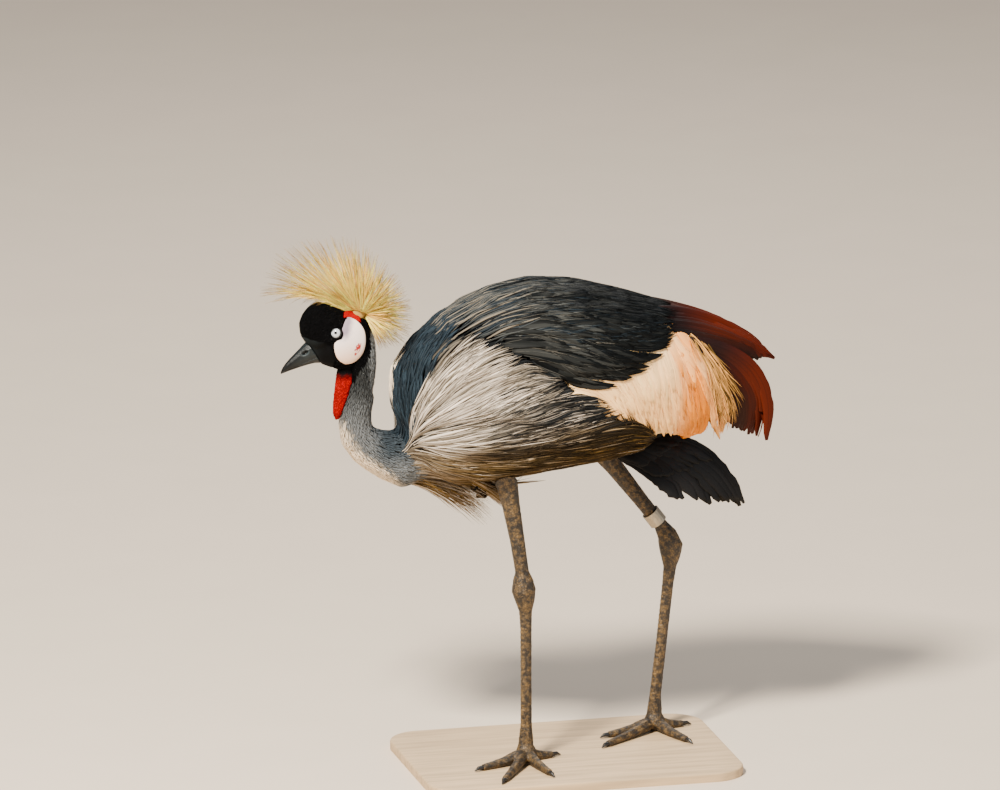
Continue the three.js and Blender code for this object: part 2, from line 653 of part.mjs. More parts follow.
// Fans: each feather goes from a point on one line to a point on another, both in the side view
function fan(form, side, { count, roots, tips, lift, halfWidth, halfThick, least }, grow) {
  const along = (points, t) => {
    const place = t * (points.length - 1);
    const k = Math.min(points.length - 2, Math.floor(place));
    const share = place - k;
    return [0, 1].map((i) => points[k][i] + (points[k + 1][i] - points[k][i]) * share);
  };
  const list = [];
  for (let i = 0; i < count; i += 1) {
    const t = count === 1 ? 0.5 : i / (count - 1);
    const root = along(roots, t);
    const tip = along(tips, t);
    const [from, to] = [root, tip].map(([x, z]) => [x, side * Math.max(least, form.angleOf(x, z))]);
    list.push(feather(form, from, to, lift, halfWidth + grow, halfThick + grow));
  }
  return list;
}

const FANS = {
  white_coverts: {
    count: 5, roots: [[92, 498], [112, 506], [150, 535], [190, 552]],
    tips: [[98, 410], [130, 414], [166, 416], [200, 406], [229, 416], [227, 466]],
    lift: { root: -8, base: -3.4, tip: -1.4 }, halfWidth: 12, halfThick: 0.6, least: 0,
  },
  straw_plumes: {
    count: 4, roots: [[220, 512], [224, 534], [242, 528], [254, 505]],
    tips: [[231, 404], [250, 400], [268, 418], [279, 450], [278, 486], [270, 508]],
    lift: { root: -9, base: -5.6, tip: -4 }, halfWidth: 6, halfThick: 0.5, least: 0,
  },
  tertials: {
    count: 4, roots: [[222, 556], [230, 566], [228, 580], [218, 586]],
    tips: [[282, 518], [305, 510], [326, 510], [316, 524], [300, 536], [276, 548]],
    lift: { root: -5.5, base: -0.8, tip: 0.6 }, halfWidth: 10, halfThick: 0.6, least: 0.4,
  },
  secondaries: {
    count: 3, roots: [[276, 500], [270, 488], [272, 462], [270, 442]],
    tips: [[312, 452], [315, 434], [311, 412], [298, 398], [280, 406], [264, 420]],
    lift: { root: -11, base: -7.6, tip: -7.4 }, halfWidth: 9, halfThick: 0.5, least: 0,
  },
};

// One wing area with its feathers; grown by a clearance it cuts the areas under it clear
function areaSolid(name, side, inside, grow) {
  const area = AREAS[name];
  seed = 4000 + name.length * 10 + side;
  let plate = cloakSolid(area.outer + grow).intersect(prism(area.outline, side));
  if (area.inner !== null) plate = plate.subtract(cloakSolid(area.inner));
  let feathers = [];
  if (name === 'wing') feathers = wingFeathers(side, grow);
  else if (name === 'flank_plumes') feathers = flankLocks(side, grow);
  else feathers = fan(cloakForm, side, FANS[name], grow);
  return fuse([plate, ...feathers]).subtract(inside);
}

// Areas from the outermost down, each with those that lie over it
const LAYERS = {
  wing: [],
  flank_plumes: ['wing'],
  white_coverts: ['wing', 'flank_plumes'],
  straw_plumes: ['white_coverts'],
  tertials: ['wing'],
  secondaries: ['straw_plumes', 'tertials'],
};

function buildWings() {
  const inside = torsoSolid(GAP).add(neckSolid(GAP));
  for (const side of [-1, 1]) {
    for (const [name, over] of Object.entries(LAYERS)) {
      let solid = areaSolid(name, side, inside, 0);
      for (const upper of over) solid = solid.subtract(areaSolid(upper, side, inside, GAP));
      addPart(`${name}_${side < 0 ? 'left' : 'right'}`, solid, AREAS[name].look);
    }
  }
}

// Tail, a drooping roof of feathers under the rump
// Tail: the middle vane's line and the outermost vane's line, as x, z from root to tip
const TAIL_MIDDLE = [[118, 398], [170, 411], [222, 397], [262, 362], [288, 312]];
const TAIL_OUTER = [[118, 392], [138, 386], [158, 372], [176, 355], [192, 336]];
const TAIL = { count: 8, rootAside: 8, tipAside: 38, halfWidth: 15, halfThick: 0.8 };
const TAIL_WIDTHS = [8, TAIL.halfWidth, TAIL.halfWidth, TAIL.halfWidth * 0.7, 0];
const RUMP = { x: 144, z: 394, radii: [44, 26, 14] };
function buildTail() {
  const feathers = [];
  for (let i = 0; i < TAIL.count; i += 1) {
    const aside = (2 * i) / (TAIL.count - 1) - 1;
    const outer = Math.abs(aside) ** 1.2;
    const points = TAIL_MIDDLE.map(([x, z], k) => {
      const spread = TAIL.rootAside + ((TAIL.tipAside - TAIL.rootAside) * k) / (TAIL_MIDDLE.length - 1);
      const [outerX, outerZ] = TAIL_OUTER[k];
      return new THREE.Vector3(x + (outerX - x) * outer, aside * spread, z + (outerZ - z) * outer);
    });
    const face = new THREE.Vector3(0.3, Math.sign(aside) * (0.9 + 0.7 * outer), 0.7).normalize();
    feathers.push(blade(points, points.map(() => face), TAIL_WIDTHS, TAIL.halfThick, 0));
  }
  const rump = ellipsoid(RUMP.x, 0, RUMP.z, RUMP.radii, 12, 8);
  addPart('tail', fuse([rump, ...feathers]).subtract(torsoSolid(GAP)), LOOK.tail);
}

// Legs: centre lines as x, z, radius from the body down
const LEGS = {
  left: {
    side: -1,
    thigh: [[-50, 400, 20], [-42, 372, 14], [-37, 345, 11.5], [-29, 300, 9.6], [-22.5, 257, 9]],
    ankle: [[-22.4, 256.6, 9], [-21.2, 245, 13.2], [-20.2, 231, 16], [-18.4, 216, 12.6], [-17.8, 204, 8.8]],
    shank: [[-17.8, 203.6, 8.8], [-17.2, 180, 7.6], [-17, 110, 7.2], [-16.8, 50, 7.6], [-17.2, 22, 10.5]],
    toes: { inner: [22, 82], middle: [60, 112], outer: [102, 84], hind: [199, 54] },
  },
  right: {
    side: 1,
    thigh: [[98, 402, 20], [112, 380, 15], [127, 360, 12], [161, 315, 9.8], [189, 278, 9]],
    ankle: [[189.4, 277.6, 9], [198, 264, 13], [203.4, 248, 16], [203, 233, 12.6], [202, 221, 8.8]],
    shank: [[202, 220.6, 8.8], [199.5, 198, 7.6], [191, 120, 7.2], [183, 50, 7.6], [181.6, 22, 10.5]],
    toes: { inner: [112, 84], middle: [38, 112], outer: [16, 82], hind: [192, 54] },
  },
};
const KNOB = { height: 13, radius: 13.5, halfHeight: 14.5 };
const CLAW = { length: 13, radius: 3.4 };

function floorTrim(solid) {
  return keepBeyond(solid, new THREE.Vector3(0, 0, 0), new THREE.Vector3(0, 0, 1));
}

// One length of a leg; grown by a clearance it cuts its neighbours clear
function legRod(leg, name, sides, flatness, grow = 0) {
  const points = leg[name].map(([x, z]) => new THREE.Vector3(x, leg.side * LEG_SPREAD, z));
  const last = points.length - 1;
  points[0].addScaledVector(points[0].clone().sub(points[1]).normalize(), grow);
  points[last].addScaledVector(points[last].clone().sub(points[last - 1]).normalize(), grow);
  return rod(points, leg[name].map(([, , radius]) => radius + grow), sides, flatness);
}

// A toe lies along the floor; grown by a clearance it cuts its neighbours clear
function toeRod(spot, reach, grow) {
  return floorTrim(rod(
    [
      spot(3, 12), spot(reach * 0.24, 9.5), spot(reach * 0.5, 5.8),
      spot(reach * 0.75, 4.4), spot(reach + grow, 3.6),
    ],
    [8.4 + grow, 7.8 + grow, 6.5 + grow, 5.4 + grow, 4.5 + grow], 6));
}

function buildLeg(word) {
  const leg = LEGS[word];
  const y = leg.side * LEG_SPREAD;
  const [footX] = leg.shank[leg.shank.length - 1];
  const knob = (grow) => floorTrim(ellipsoid(
    footX, y, KNOB.height, [KNOB.radius + grow, KNOB.radius + grow, KNOB.halfHeight + grow], 9, 6));
  const ankleClear = legRod(leg, 'ankle', 10, 0.85, GAP);
  const thigh = legRod(leg, 'thigh', 10, 0.95).subtract(torsoSolid(GAP)).subtract(cloakSolid(GAP));
  const shank = legRod(leg, 'shank', 8, 0.82).subtract(ankleClear).subtract(knob(GAP));
  addPart(`tibia_${word}`, thigh.subtract(ankleClear), LOOK.leg);
  addPart(`ankle_${word}`, legRod(leg, 'ankle', 10, 0.85), LOOK.leg);
  addPart(`tarsus_${word}`, shank, LOOK.leg);
  addPart(`foot_${word}`, knob(0), LOOK.leg);
  let taken = knob(GAP);
  for (const [toe, [turn, length]] of Object.entries(leg.toes)) {
    const angle = THREE.MathUtils.degToRad(turn);
    const away = new THREE.Vector3(-Math.cos(angle), -Math.sin(angle), 0);
    const spot = (distance, z) => new THREE.Vector3(footX, y, z).addScaledVector(away, distance);
    const reach = length - CLAW.length;
    addPart(`toe_${toe}_${word}`, toeRod(spot, reach, 0).subtract(taken), LOOK.leg);
    taken = taken.add(toeRod(spot, reach, GAP));
    const claw = floorTrim(rod(
      [spot(reach - 2, 3.8), spot(reach + CLAW.length * 0.5, 4.2), spot(reach + CLAW.length, 1.2)],
      [CLAW.radius, CLAW.radius * 0.75, 0.6], 5));
    addPart(`claw_${toe}_${word}`, claw.subtract(toeRod(spot, reach, GAP)), LOOK.claw);
  }
}

// Ring on the right tibia
const BAND = { radius: 12, wall: 1.2, height: 18.5 };
function buildBand() {
  const profile = [
    new THREE.Vector2(BAND.radius - BAND.wall, -BAND.height / 2),
    new THREE.Vector2(BAND.radius, -BAND.height / 2),
    new THREE.Vector2(BAND.radius, BAND.height / 2),
    new THREE.Vector2(BAND.radius - BAND.wall, BAND.height / 2),
    new THREE.Vector2(BAND.radius - BAND.wall, -BAND.height / 2),
  ];
  const geometry = new THREE.LatheGeometry(profile, 18);
  const [from, to] = [LEGS.right.thigh[3], LEGS.right.thigh[4]];
  const along = new THREE.Vector3(to[0] - from[0], 0, to[1] - from[1]).normalize();
  geometry.applyQuaternion(new THREE.Quaternion().setFromUnitVectors(new THREE.Vector3(0, -1, 0), along));
  const reach = BAND.height / 2 + 4;
  geometry.translate(to[0] - along.x * reach, LEG_SPREAD, to[1] - along.z * reach);
  addPart('leg_band', solidOfGeometry(geometry), LOOK.band);
}

// Flat base that keeps the bird from falling over, its top one gap under the soles
function buildStand() {
  const { thick, front, back, half, corner } = STAND;
  const points = [];
  const corners = [[back, -half, -1, 1], [back, half, -1, -1], [front, half, 1, -1], [front, -half, 1, 1]];
  corners.forEach(([x, y, inX, inY], quarter) => {
    for (let i = 0; i <= 3; i += 1) {
      const angle = (quarter - 1 + i / 3) * Math.PI / 2;
      points.push(new THREE.Vector2(
        x + corner * (inX + Math.cos(angle)), y + corner * (inY + Math.sin(angle))));
    }
  });
  const geometry = new THREE.ExtrudeGeometry(new THREE.Shape(points), { depth: thick, bevelEnabled: false });
  geometry.translate(MIDDLE_X, MIDDLE_Y, -thick - GAP);
  addPart('stand_base', solidOfGeometry(geometry), LOOK.stand);
}

buildHead();
buildNeckAndTorso();
buildCrest();
buildWings();
buildTail();
buildLeg('left');
buildLeg('right');
buildBand();
buildStand();

export default group;
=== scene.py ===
import functools
import math

import bmesh
import bpy
import numpy as np
from bpy.props import FloatProperty, FloatVectorProperty, IntProperty, PointerProperty
from mathutils import Matrix, Vector, noise
from mathutils.bvhtree import BVHTree
from mathutils.kdtree import KDTree


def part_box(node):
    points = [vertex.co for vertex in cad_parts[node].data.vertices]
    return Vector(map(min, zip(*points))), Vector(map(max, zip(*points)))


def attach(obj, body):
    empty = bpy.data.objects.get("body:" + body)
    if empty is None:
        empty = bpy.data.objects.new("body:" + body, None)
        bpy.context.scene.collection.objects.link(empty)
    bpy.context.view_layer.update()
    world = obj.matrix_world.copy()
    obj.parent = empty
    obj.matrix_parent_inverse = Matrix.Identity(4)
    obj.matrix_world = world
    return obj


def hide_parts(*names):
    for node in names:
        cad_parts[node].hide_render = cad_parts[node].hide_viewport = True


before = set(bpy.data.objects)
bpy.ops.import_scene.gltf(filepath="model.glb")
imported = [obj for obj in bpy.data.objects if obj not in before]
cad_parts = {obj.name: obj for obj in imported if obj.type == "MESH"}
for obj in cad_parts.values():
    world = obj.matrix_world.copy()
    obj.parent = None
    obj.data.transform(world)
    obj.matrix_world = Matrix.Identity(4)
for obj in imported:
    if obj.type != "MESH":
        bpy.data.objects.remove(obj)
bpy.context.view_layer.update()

# A grey crowned crane, still and life size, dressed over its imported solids.
# Tables are in millimetres, in the side view's own frame: x towards the tail, y away from the viewer, z up.
bl_info = {
    "name": "Grey crowned crane",
    "version": (1, 0, 0),
    "blender": (4, 5, 0),
    "location": "3D View > Sidebar > Crane",
    "description": "Dresses the solids of a standing grey crowned crane in skin, plumes, horn and scales",
    "category": "Object",
}

MM = 0.001
MIDDLE = np.array([14.7, 17.9, 12.3])  # the side view's origin in the part's frame, on top of the base


def node_middle(node):
    """The middle of a solid's box, in side view millimetres"""
    low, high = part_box(node)
    return (np.array(low) + np.array(high)) / 2 / MM - MIDDLE


def to_frame(points):
    """Side view millimetres to the part's metres"""
    return (np.asarray(points, float) + MIDDLE) * MM


# Sizes and colours that a user may change
def linear(value):
    value /= 255
    return value / 12.92 if value <= 0.04045 else ((value + 0.055) / 1.055) ** 2.4


def tone(name, description, red, green, blue):
    return FloatVectorProperty(
        name=name, description=description, subtype="COLOR", size=3, min=0, max=1,
        default=(linear(red), linear(green), linear(blue)))


def plume(name, length, width, spacing):
    return FloatVectorProperty(
        name=name, description=f"{name}: length, half width and spacing", unit="LENGTH", size=3, min=0,
        default=(length * MM, width * MM, spacing * MM))


def length(name, description, size):
    return FloatProperty(name=name, description=description, unit="LENGTH", min=0, default=size * MM)


class CraneColours(bpy.types.PropertyGroup):
    """Colours of the plumage, the bare parts and the stage"""
    velvet: tone("Velvet", "Black plumage of the forehead, lores, chin and throat", 5, 5, 6)
    # Neck and Neck front are one grey plumage, painted in shade and in sunlight
    neck: tone("Neck", "Blue grey plumage of the neck", 104, 107, 109)
    neck_sunlit: tone("Neck front", "Pale front of the lower neck", 236, 216, 188)
    # Painted shadow: the head's shadow on the front of the upper neck, not a stripe of the nape
    neck_head_shadow: tone("Nape", "Brown grey stripe down the back of the neck", 36, 38, 38)
    # Painted shadow: the mantle's grey plumage darkened to slate blue as in the shade of the head and neck
    mantle: tone("Mantle", "Dark slate blue of the mantle", 25, 36, 44)
    back: tone("Back", "Grey of the long back plumes", 74, 75, 72)
    slate: tone("Wing coverts", "Near black slate of the wing coverts", 6, 8, 9)
    plume_pale: tone("Flank plumes", "Pale warm grey of the hanging plumes", 226, 212, 196)
    plume_mid: tone("Flank shade", "Middle grey of the hanging plumes", 122, 112, 97)
    # Partly the dark slate of real plumes, partly painted shade in the gaps between the plumes
    plume_dark: tone("Flank depth", "Dark slate between the hanging plumes", 18, 21, 23)
    plume_gold: tone("Belly", "Golden brown of the lower flank and breast", 132, 100, 42)
    white: tone("White coverts", "Creamy white of the wing panel", 255, 218, 162)
    peach: tone("Warm coverts", "Peach tint of the lower wing panel", 255, 186, 104)
    straw: tone("Straw plumes", "Golden straw of the loose inner plumes", 222, 126, 0)
    rufous: tone("Tertials", "Bright chestnut of the upper flight feathers", 84, 22, 0)
    maroon: tone("Secondaries", "Dark maroon of the lower flight feathers", 32, 8, 2)
    tail: tone("Tail", "Black brown of the tail", 12, 10, 9)
    crest: tone("Crest", "Straw gold of the crest bristles", 255, 202, 100)
    crest_tip: tone("Crest tips", "Brown ends of the crest bristles", 84, 44, 16)
    red: tone("Wattle", "Bright red of the bare throat and the band over the cheek", 162, 0, 0)
    cheek: tone("Cheek", "White bare skin of the cheek", 240, 222, 214)
    cheek_lilac: tone("Upper cheek", "Lilac grey of the upper cheek", 122, 104, 124)
    bill: tone("Bill", "Dark slate horn", 8, 10, 11)
    # Partly the blue grey of the bill's base, partly a painted highlight on the base and culmen
    bill_pale: tone("Bill base", "Blue grey of the bill's base and culmen", 32, 38, 40)
    iris: tone("Iris", "Pale grey iris", 190, 198, 204)
    leg: tone("Leg", "Dark grey brown of the scaled legs", 34, 26, 16)
    # Partly the pale mottling of the legs, partly the painted highlight on the raised upper edges of the front scutes
    leg_pale: tone("Leg scales", "Pale edges and worn scales of the legs", 124, 96, 54)
    claw: tone("Claws", "Dark horn of the claws", 20, 18, 17)
    band: tone("Leg band", "Pale metal of the band", 198, 186, 164)
    base: tone("Base", "Pale wood of the display base", 206, 176, 136)
    floor: tone("Floor", "Pale floor of the stage", 222, 206, 186)


class CraneSizes(bpy.types.PropertyGroup):
    """Sizes of the plumes and of the stage"""
    velvet: plume("Velvet tufts", 4.2, 0.8, 1.25)
    neck: plume("Neck plumes", 12, 1.3, 2.4)
    mantle: plume("Mantle plumes", 34, 3.2, 5.4)
    back: plume("Back plumes", 92, 1.9, 5.8)
    coverts: plume("Wing coverts", 70, 5, 8)
    flank: plume("Flank plumes", 92, 2.0, 5.2)
    belly: plume("Belly plumes", 44, 3.6, 7)
    panel: plume("White coverts", 84, 7, 8.5)
    straw: plume("Straw plumes", 84, 1.1, 4.6)
    thigh: plume("Thigh plumes", 17, 2.2, 4)
    coat_depth: length("Coat depth", "How far the skin lies under the solids of the body", 5)
    bristle: length("Bristle", "Half width of a crest bristle", 0.55)
    bristles: IntProperty(name="Bristles", description="Bristles in the crest", min=1, default=1700)
    camera_distance: FloatProperty(
        name="Camera distance", description="From the camera to the bird", unit="LENGTH", min=1, default=24)
    floor: FloatProperty(name="Floor", description="Half side of the floor", unit="LENGTH", min=1, default=14)


def colours():
    return bpy.context.scene.crane_colours


def sizes():
    return bpy.context.scene.crane_sizes


def colour(name):
    return np.array(getattr(colours(), name))


# Places and lies, as x, z and, for a lie, degrees up from the way to the tail
MANTLE_LIE = [
    (-187, 494, 93), (-187, 543, 84), (-169, 575, 63), (-143, 603, 42), (-94, 628, 24), (-35, 640, 11), (24, 642, 0),
    (-173, 457, 75), (-161, 512, 80), (-200, 440, 60), (-123, 566, 42), (-83, 581, 22), (-44, 590, 6), (40, 600, -4),
]
PLUME_LIE = [
    (-148, 540, 48), (-123, 566, 37), (-83, 581, 20), (-44, 572, -8),
    (-14, 541, -30), (-142, 510, 45), (-103, 533, 31), (-54, 537, 20), (-152, 481, 32), (-103, 497, 27),
    (-44, 513, 29), (-172, 442, 17), (-123, 453, 14), (-64, 475, 25), (-5, 501, 29), (25, 507, 11), (54, 497, -11),
    (-190, 408, 12), (-180, 424, 30), (-162, 416, 2), (-103, 426, 3), (-44, 434, 9), (15, 446, 17), (64, 467, 18), (15, 414, 3), (64, 421, 6),
    (89, 469, 5), (122, 455, -30), (89, 450, 5), (130, 441, -30), (95, 412, -10), (-60, 395, -3), (-140, 385, -20),
]
SLATE_LIE = [
    (-24, 605, -2), (15, 578, -20), (44, 547, -20), (-24, 630, 8), (-83, 608, 24), (41, 639, -3), (100, 629, -8),
    (149, 610, -20), (189, 598, -17), (51, 601, -12), (90, 582, -20), (130, 576, -18), (159, 584, -10),
    (51, 561, -32), (80, 538, -20), (110, 528, 0), (140, 546, 15), (159, 560, 20), (71, 512, -5), (-40, 580, -8),
    (-10, 560, -24), (-120, 590, 35),
]
PANEL_LIE = [
    (30, 510, -20), (99, 500, -62), (158, 526, -84), (178, 564, -80), (197, 504, -80), (217, 453, -83),
    (138, 448, -74), (109, 430, -52), (210, 544, -62), (239, 498, -60), (255, 507, -52), (235, 469, -66),
    (239, 439, -84),
]
NECK_LIE = [
    (-232, 575, -65), (-224, 540, -85), (-222, 511, -92), (-227, 486, -98), (-232, 455, -82), (-222, 428, -52),
    (-205, 412, -28), (-180, 400, -12), (-150, 392, -5), (-212, 440, -65), (-245, 440, -75), (-185, 440, -10),
]
HEAD_LIE = [
    (-312, 560, 60), (-305, 580, 75), (-296, 603, 45), (-275, 618, 12), (-250, 615, -10), (-228, 600, -30),
    (-290, 560, 30), (-275, 575, 20), (-262, 598, 10), (-285, 540, 0), (-268, 530, -35), (-255, 520, -70),
    (-266, 556, -10), (-225, 570, -70), (-240, 530, -70),
]
SLATE_AREA = [
    (-150, 541), (-125, 574), (-77, 576), (-33, 553), (-12, 539), (20, 521), (51, 509), (88, 507), (143, 529),
    (170, 552), (190, 575), (214, 604), (150, 700), (-250, 700), (-200, 541),
]
PANEL_AREA = [
    (20, 530), (186, 584), (208, 570), (222, 530), (240, 480), (254, 438), (226, 424), (200, 416), (184, 428),
    (150, 432), (128, 446), (110, 452), (84, 462), (40, 480),
]
STRAW_AREA = [(196, 566), (216, 556), (246, 530), (272, 478), (262, 436), (240, 430), (222, 490), (205, 540)]
FLANK_AREA = [
    (-151, 541), (-125, 578), (-77, 582), (-33, 560), (-6, 541), (40, 508), (69, 494), (118, 462), (150, 438),
    (148, 380), (-260, 340), (-206, 398), (-190, 412), (-172, 430), (-163, 466), (-151, 505),
]
MANTLE_AREA = [
    (-260, 720), (-260, 440), (-206, 436), (-190, 408), (-168, 430), (-158, 466), (-147, 505), (-147, 541),
    (-112, 590), (-60, 640), (-60, 720),
]
BLACK_AREA = [
    (-340, 500), (-340, 640), (-210, 640), (-210, 606), (-213, 594), (-215.5, 580), (-215, 562), (-218, 548),
    (-225, 537), (-232, 527), (-235, 515), (-262, 508),
]
LORE_AREA = [
    (-345, 490), (-345, 572), (-302, 576), (-288, 573), (-277, 571), (-269, 564), (-264, 552), (-262, 540), (-263, 526),
    (-262, 490),
]
CHEEK_EDGE = [
    (-252, 595.8), (-248, 600), (-243.4, 601.1), (-238.6, 599.4), (-232.6, 596.1), (-226.6, 589.9), (-222.4, 581.2),
    (-221.2, 569.6), (-222.8, 558.4), (-226.6, 549.2), (-234.9, 541.7), (-242.9, 539.2), (-250.6, 539.7),
    (-257.7, 545.2), (-262.5, 553.3), (-264.4, 561.8), (-264, 568.9), (-260.6, 572.7), (-255, 573.1),
    (-252.1, 576.4), (-251.5, 581.8), (-253.3, 585.9), (-254.4, 590),
]
TRIANGLE_AREA = [(-84, 578), (-45, 573), (-20, 556), (2, 526), (-20, 530), (-38, 537), (-72, 560)]
NECK_LINE = [(-330, 540), (-262, 585), (-224, 545), (-221, 511), (-228, 476), (-231, 446), (-209, 420), (-120, 400)]
BODY_LINE = [(-190, 500), (60, 500), (340, 470)]
SLACK = 6.0  # a step that ends further than this from the form leaves it


def inside(points, area):
    """Whether points lie in an outline of the side view"""
    x, z = points[:, 0], points[:, 2]
    odd = np.zeros(len(points), bool)
    for (x0, z0), (x1, z1) in zip(area, area[1:] + area[:1]):
        crosses = (z0 > z) != (z1 > z)
        with np.errstate(divide="ignore", invalid="ignore"):
            odd ^= crosses & (x < x0 + (z - z0) * (x1 - x0) / (z1 - z0 if z1 != z0 else 1))
    return odd


def smoothstep(low, high, value):
    t = np.clip((value - low) / (high - low), 0, 1)
    return t * t * (3 - 2 * t)


def streaks(points, seed, size):
    """A share for each point that changes smoothly over the size"""
    shift = Vector((seed * 7.31, seed * 3.17, seed * 1.73))
    return np.array([noise.noise(Vector(point / size) + shift) for point in points]) + 0.5


def toned(share, *shades):
    """Colours along a row of shades, for shares from 0 to 1"""
    place = np.clip(share, 0, 1) * (len(shades) - 1)
    return np.stack([np.interp(place, np.arange(len(shades)), [shade[k] for shade in shades]) for k in range(3)], 1)


def blend(first, second, share):
    """A colour for each share"""
    return first + (second - first) * np.asarray(share)[:, None]


def unit(vectors):
    return vectors / np.maximum(np.linalg.norm(vectors, axis=-1, keepdims=True), 1e-9)


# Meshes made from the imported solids
# Balls that fill the nape behind the cheeks: x, z, radius
NAPE = [
    (-223, 583, 11), (-221, 575, 12.5), (-219.5, 566, 14), (-219, 557, 15.2), (-219, 548, 16), (-219.5, 539, 16.8),
    (-220, 530, 17), (-221, 521, 17), (-222, 512, 17), (-223.5, 503, 16.5),
]


def welded(nodes, swell=0.00025):
    """The solids as one mesh, each grown a little so that their gaps close, with a filled nape if the neck is there"""
    joined = bmesh.new()
    if "neck_upper" in nodes:
        for x, z, radius in NAPE:
            place = Matrix.Translation(Vector(to_frame((x, 0, z))))
            bmesh.ops.create_icosphere(joined, subdivisions=3, radius=radius * MM, matrix=place)
    for node in nodes:
        part = bmesh.new()
        part.from_mesh(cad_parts[node].data)
        bmesh.ops.remove_doubles(part, verts=part.verts, dist=1e-6)
        part.normal_update()
        for vert in part.verts:
            vert.co += vert.normal * swell
        scratch = bpy.data.meshes.new("scratch")
        part.to_mesh(scratch)
        part.free()
        joined.from_mesh(scratch)
        bpy.data.meshes.remove(scratch)
    mesh = bpy.data.meshes.new("welded")
    joined.to_mesh(mesh)
    joined.free()
    return mesh


def largest_surface(mesh):
    """Deletes all but the largest closed surface of a mesh"""
    work = bmesh.new()
    work.from_mesh(mesh)
    work.verts.ensure_lookup_table()
    label = [-1] * len(work.verts)
    groups = []
    for start in work.verts:
        if label[start.index] >= 0:
            continue
        label[start.index] = len(groups)
        stack = [start]
        members = []
        while stack:
            vert = stack.pop()
            members.append(vert)
            for edge in vert.link_edges:
                other = edge.other_vert(vert)
                if label[other.index] < 0:
                    label[other.index] = len(groups)
                    stack.append(other)
        groups.append(members)
    largest = max(groups, key=len)
    for members in groups:
        if members is not largest:
            bmesh.ops.delete(work, geom=members, context="VERTS")
    work.to_mesh(mesh)
    work.free()


def melted(name, nodes, voxel, rounds, factor=0.5):
    """One smooth closed piece from the named solids: voxels of that size, then rounds of smoothing"""
    piece = bpy.data.objects.new(name, welded(nodes))
    bpy.context.scene.collection.objects.link(piece)
    soles = Matrix.Translation((0, 0, float(MIDDLE[2]) * MM))  # the voxels are counted from here
    piece.data.transform(soles.inverted())
    remesh = piece.modifiers.new("Remesh", "REMESH")
    remesh.mode = "VOXEL"
    remesh.voxel_size = voxel
    remesh.use_smooth_shade = True
    smooth = piece.modifiers.new("Smooth", "SMOOTH")
    smooth.factor = factor
    smooth.iterations = rounds
    bpy.context.view_layer.update()
    evaluated = piece.evaluated_get(bpy.context.evaluated_depsgraph_get())
    rough = piece.data
    piece.data = bpy.data.meshes.new_from_object(evaluated)
    piece.modifiers.clear()
    bpy.data.meshes.remove(rough)
    piece.data.name = name
    piece.data.transform(soles)
    largest_surface(piece.data)
    piece.data.shade_smooth()
    return piece


def corners(mesh):
    """A mesh's points and normals, in side view millimetres"""
    places = np.empty(len(mesh.vertices) * 3, np.float32)
    normals = np.empty(len(mesh.vertices) * 3, np.float32)
    mesh.vertices.foreach_get("co", places)
    mesh.vertices.foreach_get("normal", normals)
    return places.reshape(-1, 3).astype(float) / MM - MIDDLE, normals.reshape(-1, 3).astype(float)


def move_corners(mesh, points):
    mesh.vertices.foreach_set("co", to_frame(points).astype(np.float32).ravel())
    mesh.update()


class Form:
    """A surface that plumes lie on, in side view millimetres"""

    def __init__(self, mesh):
        mesh.calc_loop_triangles()
        self.points, _ = corners(mesh)
        triangles = np.empty(len(mesh.loop_triangles) * 3, np.int32)
        mesh.loop_triangles.foreach_get("vertices", triangles)
        self.triangles = triangles.reshape(-1, 3)
        self.tree = BVHTree.FromPolygons(self.points.tolist(), self.triangles.tolist())

    def nearest(self, places):
        """The closest points of the surface, and the normals there"""
        hits = np.empty_like(places)
        normals = np.empty_like(places)
        for i, place in enumerate(places):
            hit, normal, _, _ = self.tree.find_nearest(place)
            hits[i] = hit
            normals[i] = normal
        return hits, normals

    def scatter(self, spacing, seed, wanted):
        """Evenly spread points of the surface, where wanted(points, normals) says so"""
        rng = np.random.default_rng(seed)
        a, b, c = (self.points[self.triangles[:, k]] for k in range(3))
        cross = np.cross(b - a, c - a)
        area = np.linalg.norm(cross, axis=1) / 2
        middle = (a + b + c) / 3
        facing = unit(cross)
        chosen = wanted(middle, facing) & (area > 1e-6)
        share = area * chosen
        count = int(share.sum() / spacing ** 2 * 3.2)
        if count == 0:
            raise RuntimeError("no place for plumes on the form")
        picks = rng.choice(len(share), count, p=share / share.sum())
        first, second = rng.random(count), rng.random(count)
        over = first + second > 1
        first[over], second[over] = 1 - first[over], 1 - second[over]
        points = a[picks] + (b - a)[picks] * first[:, None] + (c - a)[picks] * second[:, None]
        kept = []
        cells = {}
        for i, cell in enumerate(map(tuple, np.floor(points / spacing).astype(int))):
            x, y, z = cell
            near = (cells.get((x + i0, y + j0, z + k0), ()) for i0 in (-1, 0, 1) for j0 in (-1, 0, 1) for k0 in (-1, 0, 1))
            if all(np.dot(points[i] - points[j], points[i] - points[j]) > spacing ** 2 * 0.62 for some in near for j in some):
                cells.setdefault(cell, []).append(i)
                kept.append(i)
        return points[kept]


BODY_FLESH = ["torso", "wing_left", "wing_right", "flank_plumes_left", "flank_plumes_right", "white_coverts_left", "white_coverts_right"]
HEAD_FLESH = ["head", "forehead_cushion", "cheek_left", "cheek_right", "neck_upper", "neck_lower"]
LOOSE = ["straw_plumes_left", "straw_plumes_right", "tertials_left", "tertials_right", "secondaries_left", "secondaries_right"]


def eye_place(word):
    """The middle of an eyeball and the way that it looks"""
    look = unit(np.array([-0.27, -1.0 if word == "left" else 1.0, 0.22]))
    return node_middle("eye_" + word) + np.array([-1.9, 0, 2.8]) + look * 1.2, look


